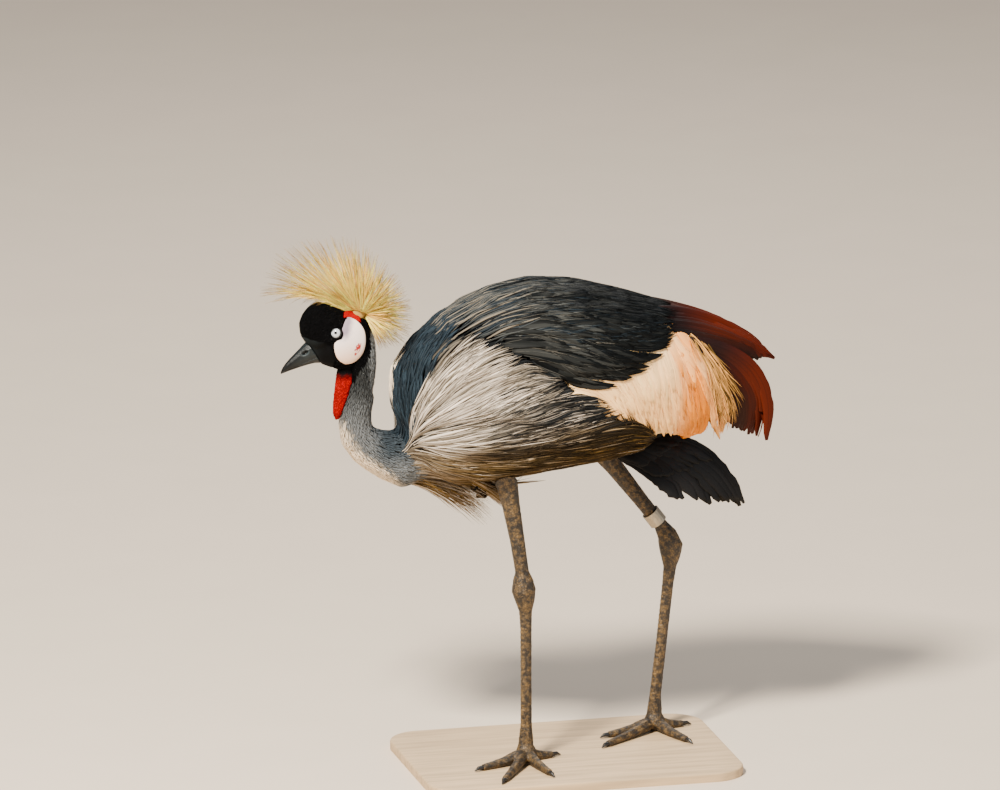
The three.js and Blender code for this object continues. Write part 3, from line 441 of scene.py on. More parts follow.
def socketed(points):
    """The points, those round the eyes pushed in so that the eyeballs stand free"""
    for word in ("left", "right"):
        middle, look = eye_place(word)
        height = (points - middle) @ look
        aside = np.linalg.norm(points - middle - height[:, None] * look, axis=1)
        over = height - np.interp(aside, (0, 6.6, 8.2), (1.0, 3.4, 14))
        points = points - look * (np.clip(over, 0, 12) * (height > 0) * (aside < 8.2))[:, None]
    return points


def lower_back(points):
    """The points, those of the back a little lower than the solids, for the plumes on them"""
    high = 7.5 * smoothstep(535, 625, points[:, 2]) * smoothstep(-200, -150, points[:, 0])
    return points - np.outer(high, (0, 0, 1))


@functools.lru_cache(maxsize=None)
def form_of(kind):
    """The smooth surface that a group of plumes is laid on"""
    nodes, voxel, rounds, inset = {
        "body": (BODY_FLESH + LOOSE + ["neck_lower"], 0.004, 22, 2.2),
        "head": (HEAD_FLESH + ["torso"], 0.0018, 8, 0.7),
    }[kind]
    piece = melted("form_" + kind, nodes, voxel, rounds)
    points, normals = corners(piece.data)
    points = points - normals * inset
    move_corners(piece.data, socketed(points) if kind == "head" else lower_back(points))
    form = Form(piece.data)
    bpy.data.objects.remove(piece)
    return form


# The lie of the plumes
def lie_at(points, table, power=3):
    """Ways of the lie at some points, as vectors of the side view"""
    rows = np.array(table, float)
    apart = np.hypot(points[:, None, 0] - rows[None, :, 0], points[:, None, 2] - rows[None, :, 1])
    weight = 1 / (apart + 4) ** power
    turn = np.radians(rows[:, 2])
    x = weight @ np.cos(turn)
    z = weight @ np.sin(turn)
    return unit(np.stack([x, np.zeros_like(x), z], 1))


def upstream(points, table, reach, steps=6):
    """Where the lie comes from, so that plumes in line share their shade"""
    for _ in range(steps):
        points = points - lie_at(points, table) * (reach / steps)
    return points


def turned(ways, normals, angles):
    """Ways turned about the normals"""
    side = np.cross(normals, ways)
    return ways * np.cos(angles)[:, None] + side * np.sin(angles)[:, None]


def lay(form, roots, lengths, table, steps, rng, wander=6, hold=0.55):
    """Centre lines that run over the form along the lie; past its edge they go on straight"""
    count = len(roots)
    points = np.empty((count, steps + 1, 3))
    normals = np.empty((count, steps + 1, 3))
    angles = np.radians(rng.normal(0, wander, count))
    place = roots.copy()
    way = None
    for k in range(steps + 1):
        hits, facing = form.nearest(place)
        if k:
            off = np.linalg.norm(place - hits, axis=1) > SLACK
            off |= (facing * normals[:, k - 1]).sum(1) < 0.35
            hits[off] = place[off]
            facing[off] = normals[off, k - 1]
            facing = unit(facing * 0.6 + normals[:, k - 1] * 0.4)
        flow = turned(lie_at(hits, table), facing, angles)
        if way is not None:
            flow = flow * (1 - hold) + way * hold
        way = unit(flow - facing * (flow * facing).sum(1)[:, None])
        points[:, k] = hits
        normals[:, k] = facing
        place = hits + way * (lengths / steps)[:, None]
    return points, normals


def unrolled(points, line):
    """Where points fall on the skin unrolled along a line: share along it, and turn about it"""
    knots = np.array(line, float)
    runs = np.hypot(*(knots[1:] - knots[:-1]).T)
    total = runs.sum()
    best = np.full(len(points), np.inf)
    along = np.zeros(len(points))
    turn = np.zeros(len(points))
    flat = points[:, [0, 2]]
    for k, run in enumerate(runs):
        way = (knots[k + 1] - knots[k]) / run
        reach = np.clip((flat - knots[k]) @ way, 0, run)
        off = flat - knots[k] - reach[:, None] * way
        height = off @ np.array([-way[1], way[0]])
        apart = np.hypot(*off.T)
        nearer = apart < best
        best[nearer] = apart[nearer]
        along[nearer] = (runs[:k].sum() + reach[nearer]) / total
        turn[nearer] = np.arctan2(points[nearer, 1], height[nearer]) / (2 * math.pi) + 0.5
    return np.stack([along, turn], 1)


# Width of a vane from root to tip, as shares of its half width
LANCE = [(0, 0.45), (0.2, 0.9), (0.45, 1), (0.7, 0.78), (0.88, 0.42), (1, 0.08)]
ROUND = [(0, 0.5), (0.15, 0.85), (0.4, 1), (0.8, 1), (0.92, 0.75), (1, 0.25)]
HAIR = [(0, 0.8), (0.3, 1), (0.7, 0.7), (1, 0.1)]
PATCH = 0.003


class Vanes:
    """A batch of closed vanes: their lines, faces, half widths and colours"""

    def __init__(self, points, normals, half, shape, rise, sink=1.2, bow=1.6, thick=0.4, sides=3, ragged=0.0,
                 seed=0, root_tint=None, tip_tint=None, line=BODY_LINE, camber=0.0,
                 fade=(0, 1)):
        rng = np.random.default_rng(seed + 71)
        count, stations = points.shape[:2]
        share = np.linspace(0, 1, stations)
        table = np.array(shape)
        half = np.broadcast_to(np.asarray(half, float), (count,))
        lift = -sink + (np.broadcast_to(np.asarray(rise, float), (count,))[:, None] + sink) * share ** (1 / bow)
        centre = points + normals * lift[..., None]
        along = np.gradient(centre, axis=1)
        side = unit(np.cross(normals, along))
        face = unit(np.cross(along, side))
        width = half[:, None] * np.interp(share, table[:, 0], table[:, 1])
        torn = 1 - ragged * rng.random((2, count, stations)) ** 2 * smoothstep(0.35, 0.9, share)
        turn = np.linspace(0, math.pi, sides)
        self.across = -np.cos(turn)
        arch = np.sin(turn) * thick
        rings = np.empty((count, stations, sides, 3))
        for k in range(sides):
            reach = width * np.where(self.across[k] < 0, torn[0], torn[1]) * self.across[k]
            up = arch[k] * np.minimum(1, width / max(thick, 1e-6)) - camber * self.across[k] ** 2 * width
            rings[:, :, k] = centre + side * reach[..., None] + face * up[..., None]
        self.rings = rings
        self.share = share
        self.fade = np.clip((share - fade[0]) / (fade[1] - fade[0]), 0, 1)
        self.chance = rng.random(count)
        self.roots = unrolled(points[:, 0], line)
        self.root_tint = np.broadcast_to(root_tint, (count, 3))
        self.tip_tint = np.broadcast_to(tip_tint if tip_tint is not None else root_tint, (count, 3))

    def faces(self):
        """Corner numbers of the batch's faces: rings joined by quads, and a cap at each end"""
        count, stations, sides = self.rings.shape[:3]
        base = (np.arange(count) * stations * sides)[:, None, None]
        ring = (np.arange(stations - 1) * sides)[None, :, None]
        k = np.arange(sides)
        nxt = (k + 1) % sides
        quads = np.stack([base + ring + k, base + ring + nxt, base + ring + sides + nxt, base + ring + sides + k], -1)
        start = base[:, 0] + k[::-1]
        end = base[:, 0] + (stations - 1) * sides + k
        return quads.reshape(-1, 4)[:, ::-1], np.concatenate([start, end])[:, ::-1]


def coat_piece(name, batches, finish, replaced=()):
    """One piece from batches of vanes, with its marks, its unrolled map and its finish"""
    corner_list, loops, starts, totals = [], [], [], []
    marks, tints, maps = [], [], []
    offset = loop_count = 0
    for batch in batches:
        count, stations, sides = batch.rings.shape[:3]
        corner_list.append(batch.rings.reshape(-1, 3))
        for faces in batch.faces():
            loops.append(faces.ravel() + offset)
            starts.append(loop_count + np.arange(len(faces)) * faces.shape[1])
            totals.append(np.full(len(faces), faces.shape[1]))
            loop_count += faces.size
        offset += count * stations * sides
        grid = np.broadcast_to
        shape = (count, stations, sides)
        across = grid(batch.across, shape)
        along = grid(batch.share[None, :, None], shape)
        marks.append(np.stack([across, along, grid(batch.chance[:, None, None], shape)], -1).reshape(-1, 3))
        change = (batch.tip_tint - batch.root_tint)[:, None, None]
        tint = batch.root_tint[:, None, None] + change * grid(batch.fade[None, :, None], shape)[..., None]
        tints.append(tint.reshape(-1, 3))
        patch = batch.roots[:, None, None] * 0.99 + np.stack([across + 1, along * 2], -1) * PATCH / 2
        maps.append(patch.reshape(-1, 2))
    mesh = bpy.data.meshes.new(name)
    places = to_frame(np.concatenate(corner_list))
    loops = np.concatenate(loops)
    mesh.vertices.add(len(places))
    mesh.vertices.foreach_set("co", places.astype(np.float32).ravel())
    mesh.loops.add(len(loops))
    mesh.loops.foreach_set("vertex_index", loops.astype(np.int32))
    starts = np.concatenate(starts)
    mesh.polygons.add(len(starts))
    mesh.polygons.foreach_set("loop_start", starts.astype(np.int32))
    mesh.polygons.foreach_set("loop_total", np.concatenate(totals).astype(np.int32))
    mesh.update(calc_edges=True)
    mesh.attributes.new("vane", "FLOAT_VECTOR", "POINT").data.foreach_set(
        "vector", np.concatenate(marks).astype(np.float32).ravel())
    set_tint(mesh, np.concatenate(tints))
    bake = mesh.uv_layers.new(name="OFBake")
    bake.data.foreach_set("uv", np.concatenate(maps)[loops].astype(np.float32).ravel())
    mesh.shade_smooth()
    piece = bpy.data.objects.new(name, mesh)
    bpy.context.scene.collection.objects.link(piece)
    return dressed(piece, finish, replaced)


def set_tint(mesh, tints):
    opaque = np.concatenate([np.clip(tints, 0, 1), np.ones((len(tints), 1))], 1)
    layer = mesh.attributes.get("tint") or mesh.attributes.new("tint", "FLOAT_COLOR", "POINT")
    layer.data.foreach_set("color", opaque.astype(np.float32).ravel())


def dressed(piece, finish, replaced=()):
    """Gives a piece its finish, its body and the solids that it stands for"""
    piece.data.materials.clear()
    piece.data.materials.append(finish)
    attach(piece, "root")
    if replaced:
        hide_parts(*replaced)
    return piece


# Shader arithmetic
class Value:
    """An output socket that arithmetic can be written with"""

    def __init__(self, board, socket):
        self.board = board
        self.socket = socket

    def math(self, operation, *terms):
        return self.board.node("ShaderNodeMath", {"operation": operation}, dict(enumerate(terms)))

    def __add__(self, other):
        return self.math("ADD", self, other)

    def __sub__(self, other):
        return self.math("SUBTRACT", self, other)

    def __rsub__(self, other):
        return self.math("SUBTRACT", other, self)

    def __mul__(self, other):
        return self.math("MULTIPLY", self, other)

    def __truediv__(self, other):
        return self.math("DIVIDE", self, other)

    def __pow__(self, other):
        return self.math("POWER", self, other)

    def size(self):
        return self.math("ABSOLUTE", self)

    def sine(self):
        return self.math("SINE", self)

    def step(self, low, high):
        """0 below low, 1 above high, smooth between"""
        return self.board.node("ShaderNodeMapRange", {"interpolation_type": "SMOOTHSTEP", "clamp": True},
                               {"Value": self, "From Min": low, "From Max": high})

    __radd__ = __add__
    __rmul__ = __mul__


class Board:
    """A material's nodes around one principled shader"""

    def __init__(self, name):
        self.material = bpy.data.materials.new(name)
        self.material.use_nodes = True
        self.tree = self.material.node_tree
        self.shader = self.tree.nodes["Principled BSDF"]

    def node(self, kind, settings=None, inputs=None, output=0):
        node = self.tree.nodes.new(kind)
        for key, value in (settings or {}).items():
            if key == "stops":
                ramp = node.color_ramp
                while len(ramp.elements) < len(value):
                    ramp.elements.new(1)
                for stop, (place, shade) in zip(ramp.elements, value):
                    stop.position = place
                    stop.color = (*shade, 1)
            else:
                setattr(node, key, value)
        for key, value in (inputs or {}).items():
            self.feed(node.inputs[key], value)
        return Value(self, node.outputs[output])

    def feed(self, socket, value):
        if isinstance(value, Value):
            self.tree.links.new(value.socket, socket)
        elif hasattr(value, "__len__"):
            socket.default_value = [*value, 1] if socket.type == "RGBA" else list(value)
        else:
            socket.default_value = value

    def attribute(self, name, output):
        return self.node("ShaderNodeAttribute", {"attribute_name": name}, {}, output)

    def parts(self, vector):
        return [self.node("ShaderNodeSeparateXYZ", {}, {0: vector}, k) for k in range(3)]

    def vector(self, x, y, z):
        return self.node("ShaderNodeCombineXYZ", {}, {0: x, 1: y, 2: z})

    def noise(self, vector, scale, detail=2.0, rough=0.5):
        return self.node("ShaderNodeTexNoise", {}, {
            "Vector": vector, "Scale": scale, "Detail": detail, "Roughness": rough})

    def cells(self, vector, scale, feature="F1", output="Distance"):
        return self.node("ShaderNodeTexVoronoi", {"feature": feature}, {"Vector": vector, "Scale": scale}, output)

    def mix(self, share, first, second):
        return self.node("ShaderNodeMix", {"data_type": "RGBA"}, {0: share, 6: first, 7: second}, 2)

    def shaded(self, tint, amount):
        return self.node("ShaderNodeVectorMath", {"operation": "SCALE"}, {0: tint, 3: amount})

    def bump(self, height, distance, strength=1.0):
        return self.node("ShaderNodeBump", {}, {"Height": height, "Distance": distance, "Strength": strength})

    def place(self):
        """The point's place in the part's frame"""
        return self.node("ShaderNodeTexCoord", {}, {}, "Object")

    def side_view(self):
        """The point's x and z in side view millimetres"""
        x, _, z = self.parts(self.place())
        return x / MM - float(MIDDLE[0]), z / MM - float(MIDDLE[2])

    def finish(self, **inputs):
        for name, value in inputs.items():
            self.feed(self.shader.inputs[name.replace("_", " ")], value)
        return self.material


@functools.lru_cache(maxsize=None)
def plumage(name, streaks=5.0, contrast=0.5, fringe=0.15, shaft=0.2, roughness=0.7, gloss=0.2, mixed=0.24):
    """Vanes with fine streaks along them, a shaft, paler edges and barbs"""
    board = Board(name)
    across, along, chance = board.parts(board.attribute("vane", "Vector"))
    tint = board.attribute("tint", "Color")
    hair = board.noise(board.vector(across * streaks + chance * 61, along * 1.6, chance * 23), 1.0, 3.0, 0.6)
    amount = hair * (2 * contrast) + (1 - contrast)
    amount = amount * (1 - (1 - across.size().step(0.0, 0.14)) * shaft)
    amount = amount + across.size().step(0.55, 1.0) * fringe
    amount = amount * (chance * mixed + (1 - mixed / 2))
    barb = ((along * 60 - across.size() * 2.5) * 6.283).sine()
    relief = hair * 0.7 + barb * 0.15
    return board.finish(
        Base_Color=board.shaded(tint, amount), Roughness=hair * 0.25 + (roughness - 0.12),
        Normal=board.bump(relief, 0.0004, min(0.5, mixed * 2)), Specular_IOR_Level=gloss)


# The pieces
class CraneStep:
    """What every operator of the crane shares"""
    bl_options = {"REGISTER", "UNDO"}


def plumes(key, form, seed, wanted, table, steps, **more):
    """Plumes of the named size, spread over the form where wanted"""
    long, half, spacing = (value / MM for value in getattr(sizes(), key))
    rng = np.random.default_rng(seed)
    roots = form.scatter(spacing * more.pop("spread", 1), seed, wanted)
    stretch = more.pop("stretch", None)
    lengths = long * rng.uniform(0.8, 1.15, len(roots))
    if stretch is not None:
        lengths *= stretch(roots)
    points, normals = lay(form, roots, lengths, table, steps, rng, more.pop("wander", 6))
    keep = more.pop("keep", None)
    if keep is not None:
        kept = keep(points)
        points, normals = points[kept], normals[kept]
    width = half * more.pop("wide", 1) * rng.uniform(0.8, 1.2, len(points))
    tint = more.pop("tint")
    root_tint, tip_tint = tint(points, rng)
    return Vanes(points, normals, width, seed=seed, root_tint=root_tint, tip_tint=tip_tint, **more)


def varied(base, rng, amount=0.12):
    """A batch's colours, each a little lighter or darker"""
    return base * rng.normal(1, amount, (len(base), 1)).clip(0.5, 1.6)


class CRANE_OT_skin(CraneStep, bpy.types.Operator):
    """One skin under the plumage of head, neck and body"""
    bl_idname = "crane.skin"
    bl_label = "Skin"

    def execute(self, context):
        nodes = BODY_FLESH + ["head", "forehead_cushion", "neck_upper", "neck_lower"]
        piece = melted("skin", nodes, 0.002, 6)
        points, normals = corners(piece.data)
        coat = sizes().coat_depth / MM
        body = smoothstep(-205, -180, points[:, 0])
        deep = 1.4 + (coat - 1.4) * body
        neck = (points[:, 2] < 545) & (points[:, 0] < -180)
        deep = np.where(neck, 2.6 + (deep - 2.6) * body, deep)
        deep = np.where(inside(points, LORE_AREA), 0.2, deep)
        points = points - normals * deep[:, None]
        hits, facing = form_of("body").nearest(points)
        above = ((points - hits) * facing).sum(1) + coat * 0.9
        points -= facing * (np.clip(above, 0, None) * body)[:, None]
        points = socketed(points)
        move_corners(piece.data, points)
        head = inside(points, BLACK_AREA)
        # Darker copies of the plumage's colours: painted shade where the skin shows in the gaps between plumes
        tint = blend(colour("neck") * 0.6, colour("plume_dark") * 0.7, body)
        panel = inside(points, PANEL_AREA) & ~inside(points, FLANK_AREA) & (np.abs(points[:, 1]) > 32)
        tint = blend(tint, colour("white") * 0.8, panel * 1.0)
        tint = blend(tint, colour("velvet"), head)
        lore = blend(colour("bill_pale") * 0.7, colour("velvet"), smoothstep(-306, -274, points[:, 0]))
        tint = np.where((inside(points, LORE_AREA) & head)[:, None], lore, tint)
        set_tint(piece.data, tint)
        board = Board("skin_under")
        grain = board.noise(board.place(), 600.0)
        dressed(piece, board.finish(
            Base_Color=board.shaded(board.attribute("tint", "Color"), grain * 0.5 + 0.75), Roughness=0.7,
            Normal=board.bump(grain, 0.0004), Specular_IOR_Level=0.06), ["torso", "neck_upper", "neck_lower"])
        return {"FINISHED"}


def on_cheek(points, share=1.0):
    """Whether points lie on the bare cheeks, or on a share of them round their middle"""
    edge = np.array(CHEEK_EDGE)
    middle = edge.mean(0)
    outline = (middle + (edge - middle) * share).tolist()
    return inside(points, outline)


class CRANE_OT_velvet(CraneStep, bpy.types.Operator):
    """Short black velvet over the forehead cushion, the lores, the chin and the throat"""
    bl_idname = "crane.velvet"
    bl_label = "Velvet"

    def execute(self, context):
        eye, _ = eye_place("left")

        def wanted(points, normals):
            near_eye = np.hypot(points[:, 0] - eye[0], points[:, 2] - eye[2]) < 7.8
            side = np.abs(points[:, 1]) > 9
            here = inside(points, BLACK_AREA) & ~inside(points, LORE_AREA)
            return here & ~(on_cheek(points) & side) & ~(near_eye & side)

        def keep(line):
            tip = line[:, -1]
            side = np.abs(tip[:, 1]) > 9
            near_eye = np.hypot(tip[:, 0] - eye[0], tip[:, 2] - eye[2]) < 6.9
            return ~(near_eye & side) & ~(on_cheek(tip, 0.93) & side)

        def tint(points, rng):
            dark = varied(np.tile(colour("velvet"), (len(points), 1)), rng, 0.25)
            # Root darker than tip: painted shade where the root lies under its neighbours
            return dark, dark * 1.5

        batch = plumes("velvet", form_of("head"), 3, wanted, HEAD_LIE, 2, wander=14, shape=LANCE, rise=0.9, sink=0.8,
                       thick=0.3, line=NECK_LINE, tint=tint, keep=keep)
        coat_piece("velvet", [batch], plumage("velvet_plumage", 2, 0.4, 0.1, 0.0, 0.9, 0.06),
                   ["head", "forehead_cushion"])
        return {"FINISHED"}


NECK_SHADE = [(380, -185), (400, -205), (430, -238), (460, -250), (480, -262)]  # z and x of the edge between the painted sunlit front of the neck and its shaded side


class CRANE_OT_neck(CraneStep, bpy.types.Operator):
    """Plush blue grey plumage of the neck, with painted sunlight on its lower front and painted shadows of the head on
    its upper front and lower back
    """
    bl_idname = "crane.neck"
    bl_label = "Neck"

    def execute(self, context):
        def wanted(points, normals):
            x, z = points[:, 0], points[:, 2]
            return ~inside(points, BLACK_AREA) & (x < -150) & ~((x > -196) & (z > 447)) & (z < 600)

        def tint(points, rng):
            root = points[:, 0]
            edge = root[:, 0] - np.interp(root[:, 2], *zip(*NECK_SHADE))
            # Painted sunlight on the lit front of the neck; behind the edge the neck keeps its shaded grey
            front = smoothstep(9, -9, edge + rng.normal(0, 2.5, len(root)))
            base = blend(colour("neck"), colour("neck_sunlit"), front)
            # Painted shadow of the head over the front of the upper neck; the lit nape behind keeps the neck's grey
            upper = smoothstep(455, 520, root[:, 2])
            behind = smoothstep(-221, -212, root[:, 0] + (root[:, 2] - 545) * 0.1) * upper
            base = blend(base, colour("neck_head_shadow"), upper * (1 - behind) * 0.9)
            # Painted shadow of the head and neck on the lower back of the neck, in the mantle's slate
            base = blend(base, colour("mantle") * 1.6, smoothstep(-222, -200, root[:, 0]) * smoothstep(398, 428, root[:, 2])
                         * smoothstep(470, 450, root[:, 2]) * 0.8)
            base = varied(base, rng, 0.035)
            # Root darker than tip: painted shade where the root lies under its neighbours
            return base * 0.95, base * 1.03

        batch = plumes("neck", form_of("head"), 5, wanted, NECK_LIE, 4, wander=8, shape=LANCE, rise=0.5, sink=2.0,
                       thick=0.2, line=NECK_LINE, tint=tint)
        coat_piece("neck_plumage", [batch], plumage("neck_vanes", 3, 0.1, 0.0, 0.0, 0.85, 0.05, 0.06))
        return {"FINISHED"}


def outward(points, normals, side=None):
    """Whether points lie on the outer faces of the body, and on one side of it"""
    out = normals[:, 1] * np.sign(points[:, 1]) > -0.25
    if side is not None:
        out &= points[:, 1] * side > -2
    return out


class CRANE_OT_mantle(CraneStep, bpy.types.Operator):
    """Mantle painted dark slate blue as the shadow of the head and neck, with a painted sunlit front edge, and long
    streaked plumes of the back
    """
    bl_idname = "crane.mantle"
    bl_label = "Mantle and back"

    def execute(self, context):
        form = form_of("body")

        def wanted(points, normals):
            x, z = points[:, 0], points[:, 2]
            return outward(points, normals) & (z > 425) & inside(points, MANTLE_AREA) & (x > -230)

        def tint(points, rng):
            root = points[:, 0]
            # Painted shadow of the head and neck over the whole mantle
            base = np.tile(colour("mantle"), (len(root), 1))
            # Painted highlight: the sunlit front edge of the mantle, in the lit tone of the neck
            front = -177 + (root[:, 2] - 500) ** 2 * 0.0022
            sunlit_edge = smoothstep(3, -4, root[:, 0] - front) * smoothstep(452, 466, root[:, 2]) * smoothstep(526, 508, root[:, 2])
            sunlit_edge *= root[:, 1] > -5
            base = blend(base, colour("neck_sunlit"), sunlit_edge * 0.9)
            base = blend(base, colour("back"), smoothstep(560, 620, root[:, 2]) * 0.45 * rng.random(len(root)))
            base = base * (0.55 + 0.9 * streaks(root, 11, 14))[:, None].clip(0.4, 1.8)
            # Root darker than tip: painted shade where the root lies under its neighbours
            return base * 0.85, base * 1.2

        front = plumes("mantle", form, 11, wanted, MANTLE_LIE, 6, shape=LANCE, rise=1.5, sink=2.5, thick=0.5, tint=tint)

        def on_back(points, normals):
            x, z = points[:, 0], points[:, 2]
            return outward(points, normals) & inside(points, SLATE_AREA) & (x > -175) & (z > 560)

        def back_tint(points, rng):
            root = points[:, 0]
            # Darker towards the rear, and darker towards the top: painted shade on the top of the back
            dark = smoothstep(-90, 50, root[:, 0]) * 0.42 + smoothstep(570, 620, root[:, 2]) * 0.22
            source = upstream(root, MANTLE_LIE, 70)
            share = 0.46 - dark + (streaks(source, 12, 6) - 0.5) * 0.55 + rng.normal(0, 0.08, len(root))
            base = toned(share.clip(0, 0.72), colour("slate"), colour("mantle"), colour("back"), colour("plume_mid"), colour("plume_pale"))
            # Root darker than tip: painted shade where the root lies under its neighbours
            return base * 0.75, base * 1.15

        back = plumes("back", form, 12, on_back, MANTLE_LIE, 8, shape=LANCE, rise=2.6, sink=2, thick=0.6, tint=back_tint,
                      keep=lambda line: inside(line[:, -1], SLATE_AREA))
        coat_piece("mantle", [front, back], plumage("mantle_vanes", 5, 0.4, 0.2, 0.1, 0.6, 0.15))
        return {"FINISHED"}


class CRANE_OT_coverts(CraneStep, bpy.types.Operator):
    """Near black slate coverts and scapulars of the folded wings"""
    bl_idname = "crane.coverts"
    bl_label = "Wing coverts"

    def execute(self, context):
        form = form_of("body")
        for side, word in ((-1, "left"), (1, "right")):
            def wanted(points, normals):
                return outward(points, normals, side) & inside(points, SLATE_AREA) & (points[:, 0] > -60)

            def tint(points, rng):
                root = points[:, 0]
                base = np.tile(colour("slate"), (len(root), 1))
                source = upstream(root, SLATE_LIE, 60)
                grey = (streaks(source, 21, 9) - 0.42) * 0.8 * smoothstep(90, -20, root[:, 0]) + rng.normal(0.0, 0.05, len(root))
                base = blend(base, colour("back"), np.clip(grey, 0, 1))
                base = varied(base, rng, 0.2)
                # Root darker than tip: painted shade where the root lies under its neighbours
                return base * 0.8, base * 1.2

            vanes = plumes("coverts", form, 21 + side, wanted, SLATE_LIE, 8, shape=LANCE, rise=2.6, sink=1.2, thick=0.8,
                           sides=5, camber=0.06, ragged=0.1, wander=4, tint=tint,
                           keep=lambda line: inside(line[:, -1], SLATE_AREA) | (line[:, -1, 2] > 590))

            def hair_tint(points, rng):
                near = smoothstep(80, -50, points[:, 0, 0])
                base = toned(near * 0.5 + rng.normal(0.04, 0.14, len(points)), colour("slate"), colour("back"), colour("plume_mid"))
                # Root darker than tip: painted shade where the root lies under its neighbours
                return base * 0.8, base * 1.1

            hairs = plumes("coverts", form, 31 + side, wanted, SLATE_LIE, 8, shape=HAIR, rise=3.0, sink=0.5, thick=0.4,
                           wide=0.1, spread=0.8, wander=9, tint=hair_tint,
                           keep=lambda line: inside(line[:, -1], SLATE_AREA))
            coat_piece("wing_coverts_" + word, [vanes, hairs], plumage("slate_vanes", 9, 0.35, 0.1, 0.2, 0.55, 0.08),
                       ["wing_" + word])
        return {"FINISHED"}


class CRANE_OT_flanks(CraneStep, bpy.types.Operator):
    """Long narrow plumes that hang over the flanks and the belly"""
    bl_idname = "crane.flanks"
    bl_label = "Flank plumes"

    def execute(self, context):
        form = form_of("body")

        def shade_of(points, rng, shift, spread):
            source = upstream(points[:, 0], PLUME_LIE, 60)
            loose = 0.35 + 0.65 * smoothstep(-150, -20, points[:, 0, 0] - (points[:, 0, 2] - 450) * 0.6)
            chance = (streaks(source, 41, 7) - 0.5) * spread * loose + rng.normal(0, 0.13, len(points)) * loose
            chance -= 0.5 * inside(points[:, 4], TRIANGLE_AREA)
            tones = []
            for place in (points[:, 0], points[:, -1]):
                height = place[:, 2] - 0.16 * (place[:, 0] + 100)
                gold = smoothstep(456, 392, height) * smoothstep(-205, -130, place[:, 0])
                rear = smoothstep(-120, 60, place[:, 0] - (place[:, 2] - 450) * 0.6)
                share = 0.8 - rear * 0.8 - gold * 0.3 + shift + chance
                grey = toned(share, colour("plume_dark"), colour("plume_dark") * 1.8, colour("plume_mid"), colour("plume_pale"))
                warm = toned(share, colour("plume_gold") * 0.1, colour("plume_gold") * 0.5, colour("plume_gold"),
                             colour("plume_pale") * 0.8)
                tones.append(grey + (warm - grey) * gold[:, None])
            # Root darker than tip: painted shade where the root lies under its neighbours
            return tones[0] * 0.8, tones[1] * 1.1

        for side, word in ((-1, "left"), (1, "right")):
            def wanted(points, normals):
                x, z = points[:, 0], points[:, 2]
                return outward(points, normals, side) & inside(points, FLANK_AREA) & (x > -182) & (x < 130)

            def keep(line):
                return inside(line[:, -1], FLANK_AREA)

            # The under layer is toned darker: painted shade beneath the plumes that lie over it
            under = plumes("belly", form, 41 + side, wanted, PLUME_LIE, 6, shape=LANCE, rise=1.0, sink=2, thick=0.5,
                           spread=0.8, tint=lambda points, rng: shade_of(points, rng, -0.34, 0.8), keep=keep)
            over = plumes("flank", form, 51 + side, wanted, PLUME_LIE, 9, shape=LANCE, rise=3.6, sink=1.5, thick=0.8,
                          wander=5, tint=lambda points, rng: shade_of(points, rng, 0, 1.5), keep=keep)
            fine = plumes("flank", form, 61 + side, wanted, PLUME_LIE, 9, shape=HAIR, rise=4.6, sink=0.5, thick=0.5,
                          wide=0.32, wander=6, spread=1.1, tint=lambda points, rng: shade_of(points, rng, 0.06, 1.6), keep=keep)
            coat_piece("flank_plumes_coat_" + word, [under, over, fine], plumage("flank_vanes", 4, 0.35, 0.2, 0.15, 0.65, 0.15),
                       ["flank_plumes_" + word])
        return {"FINISHED"}


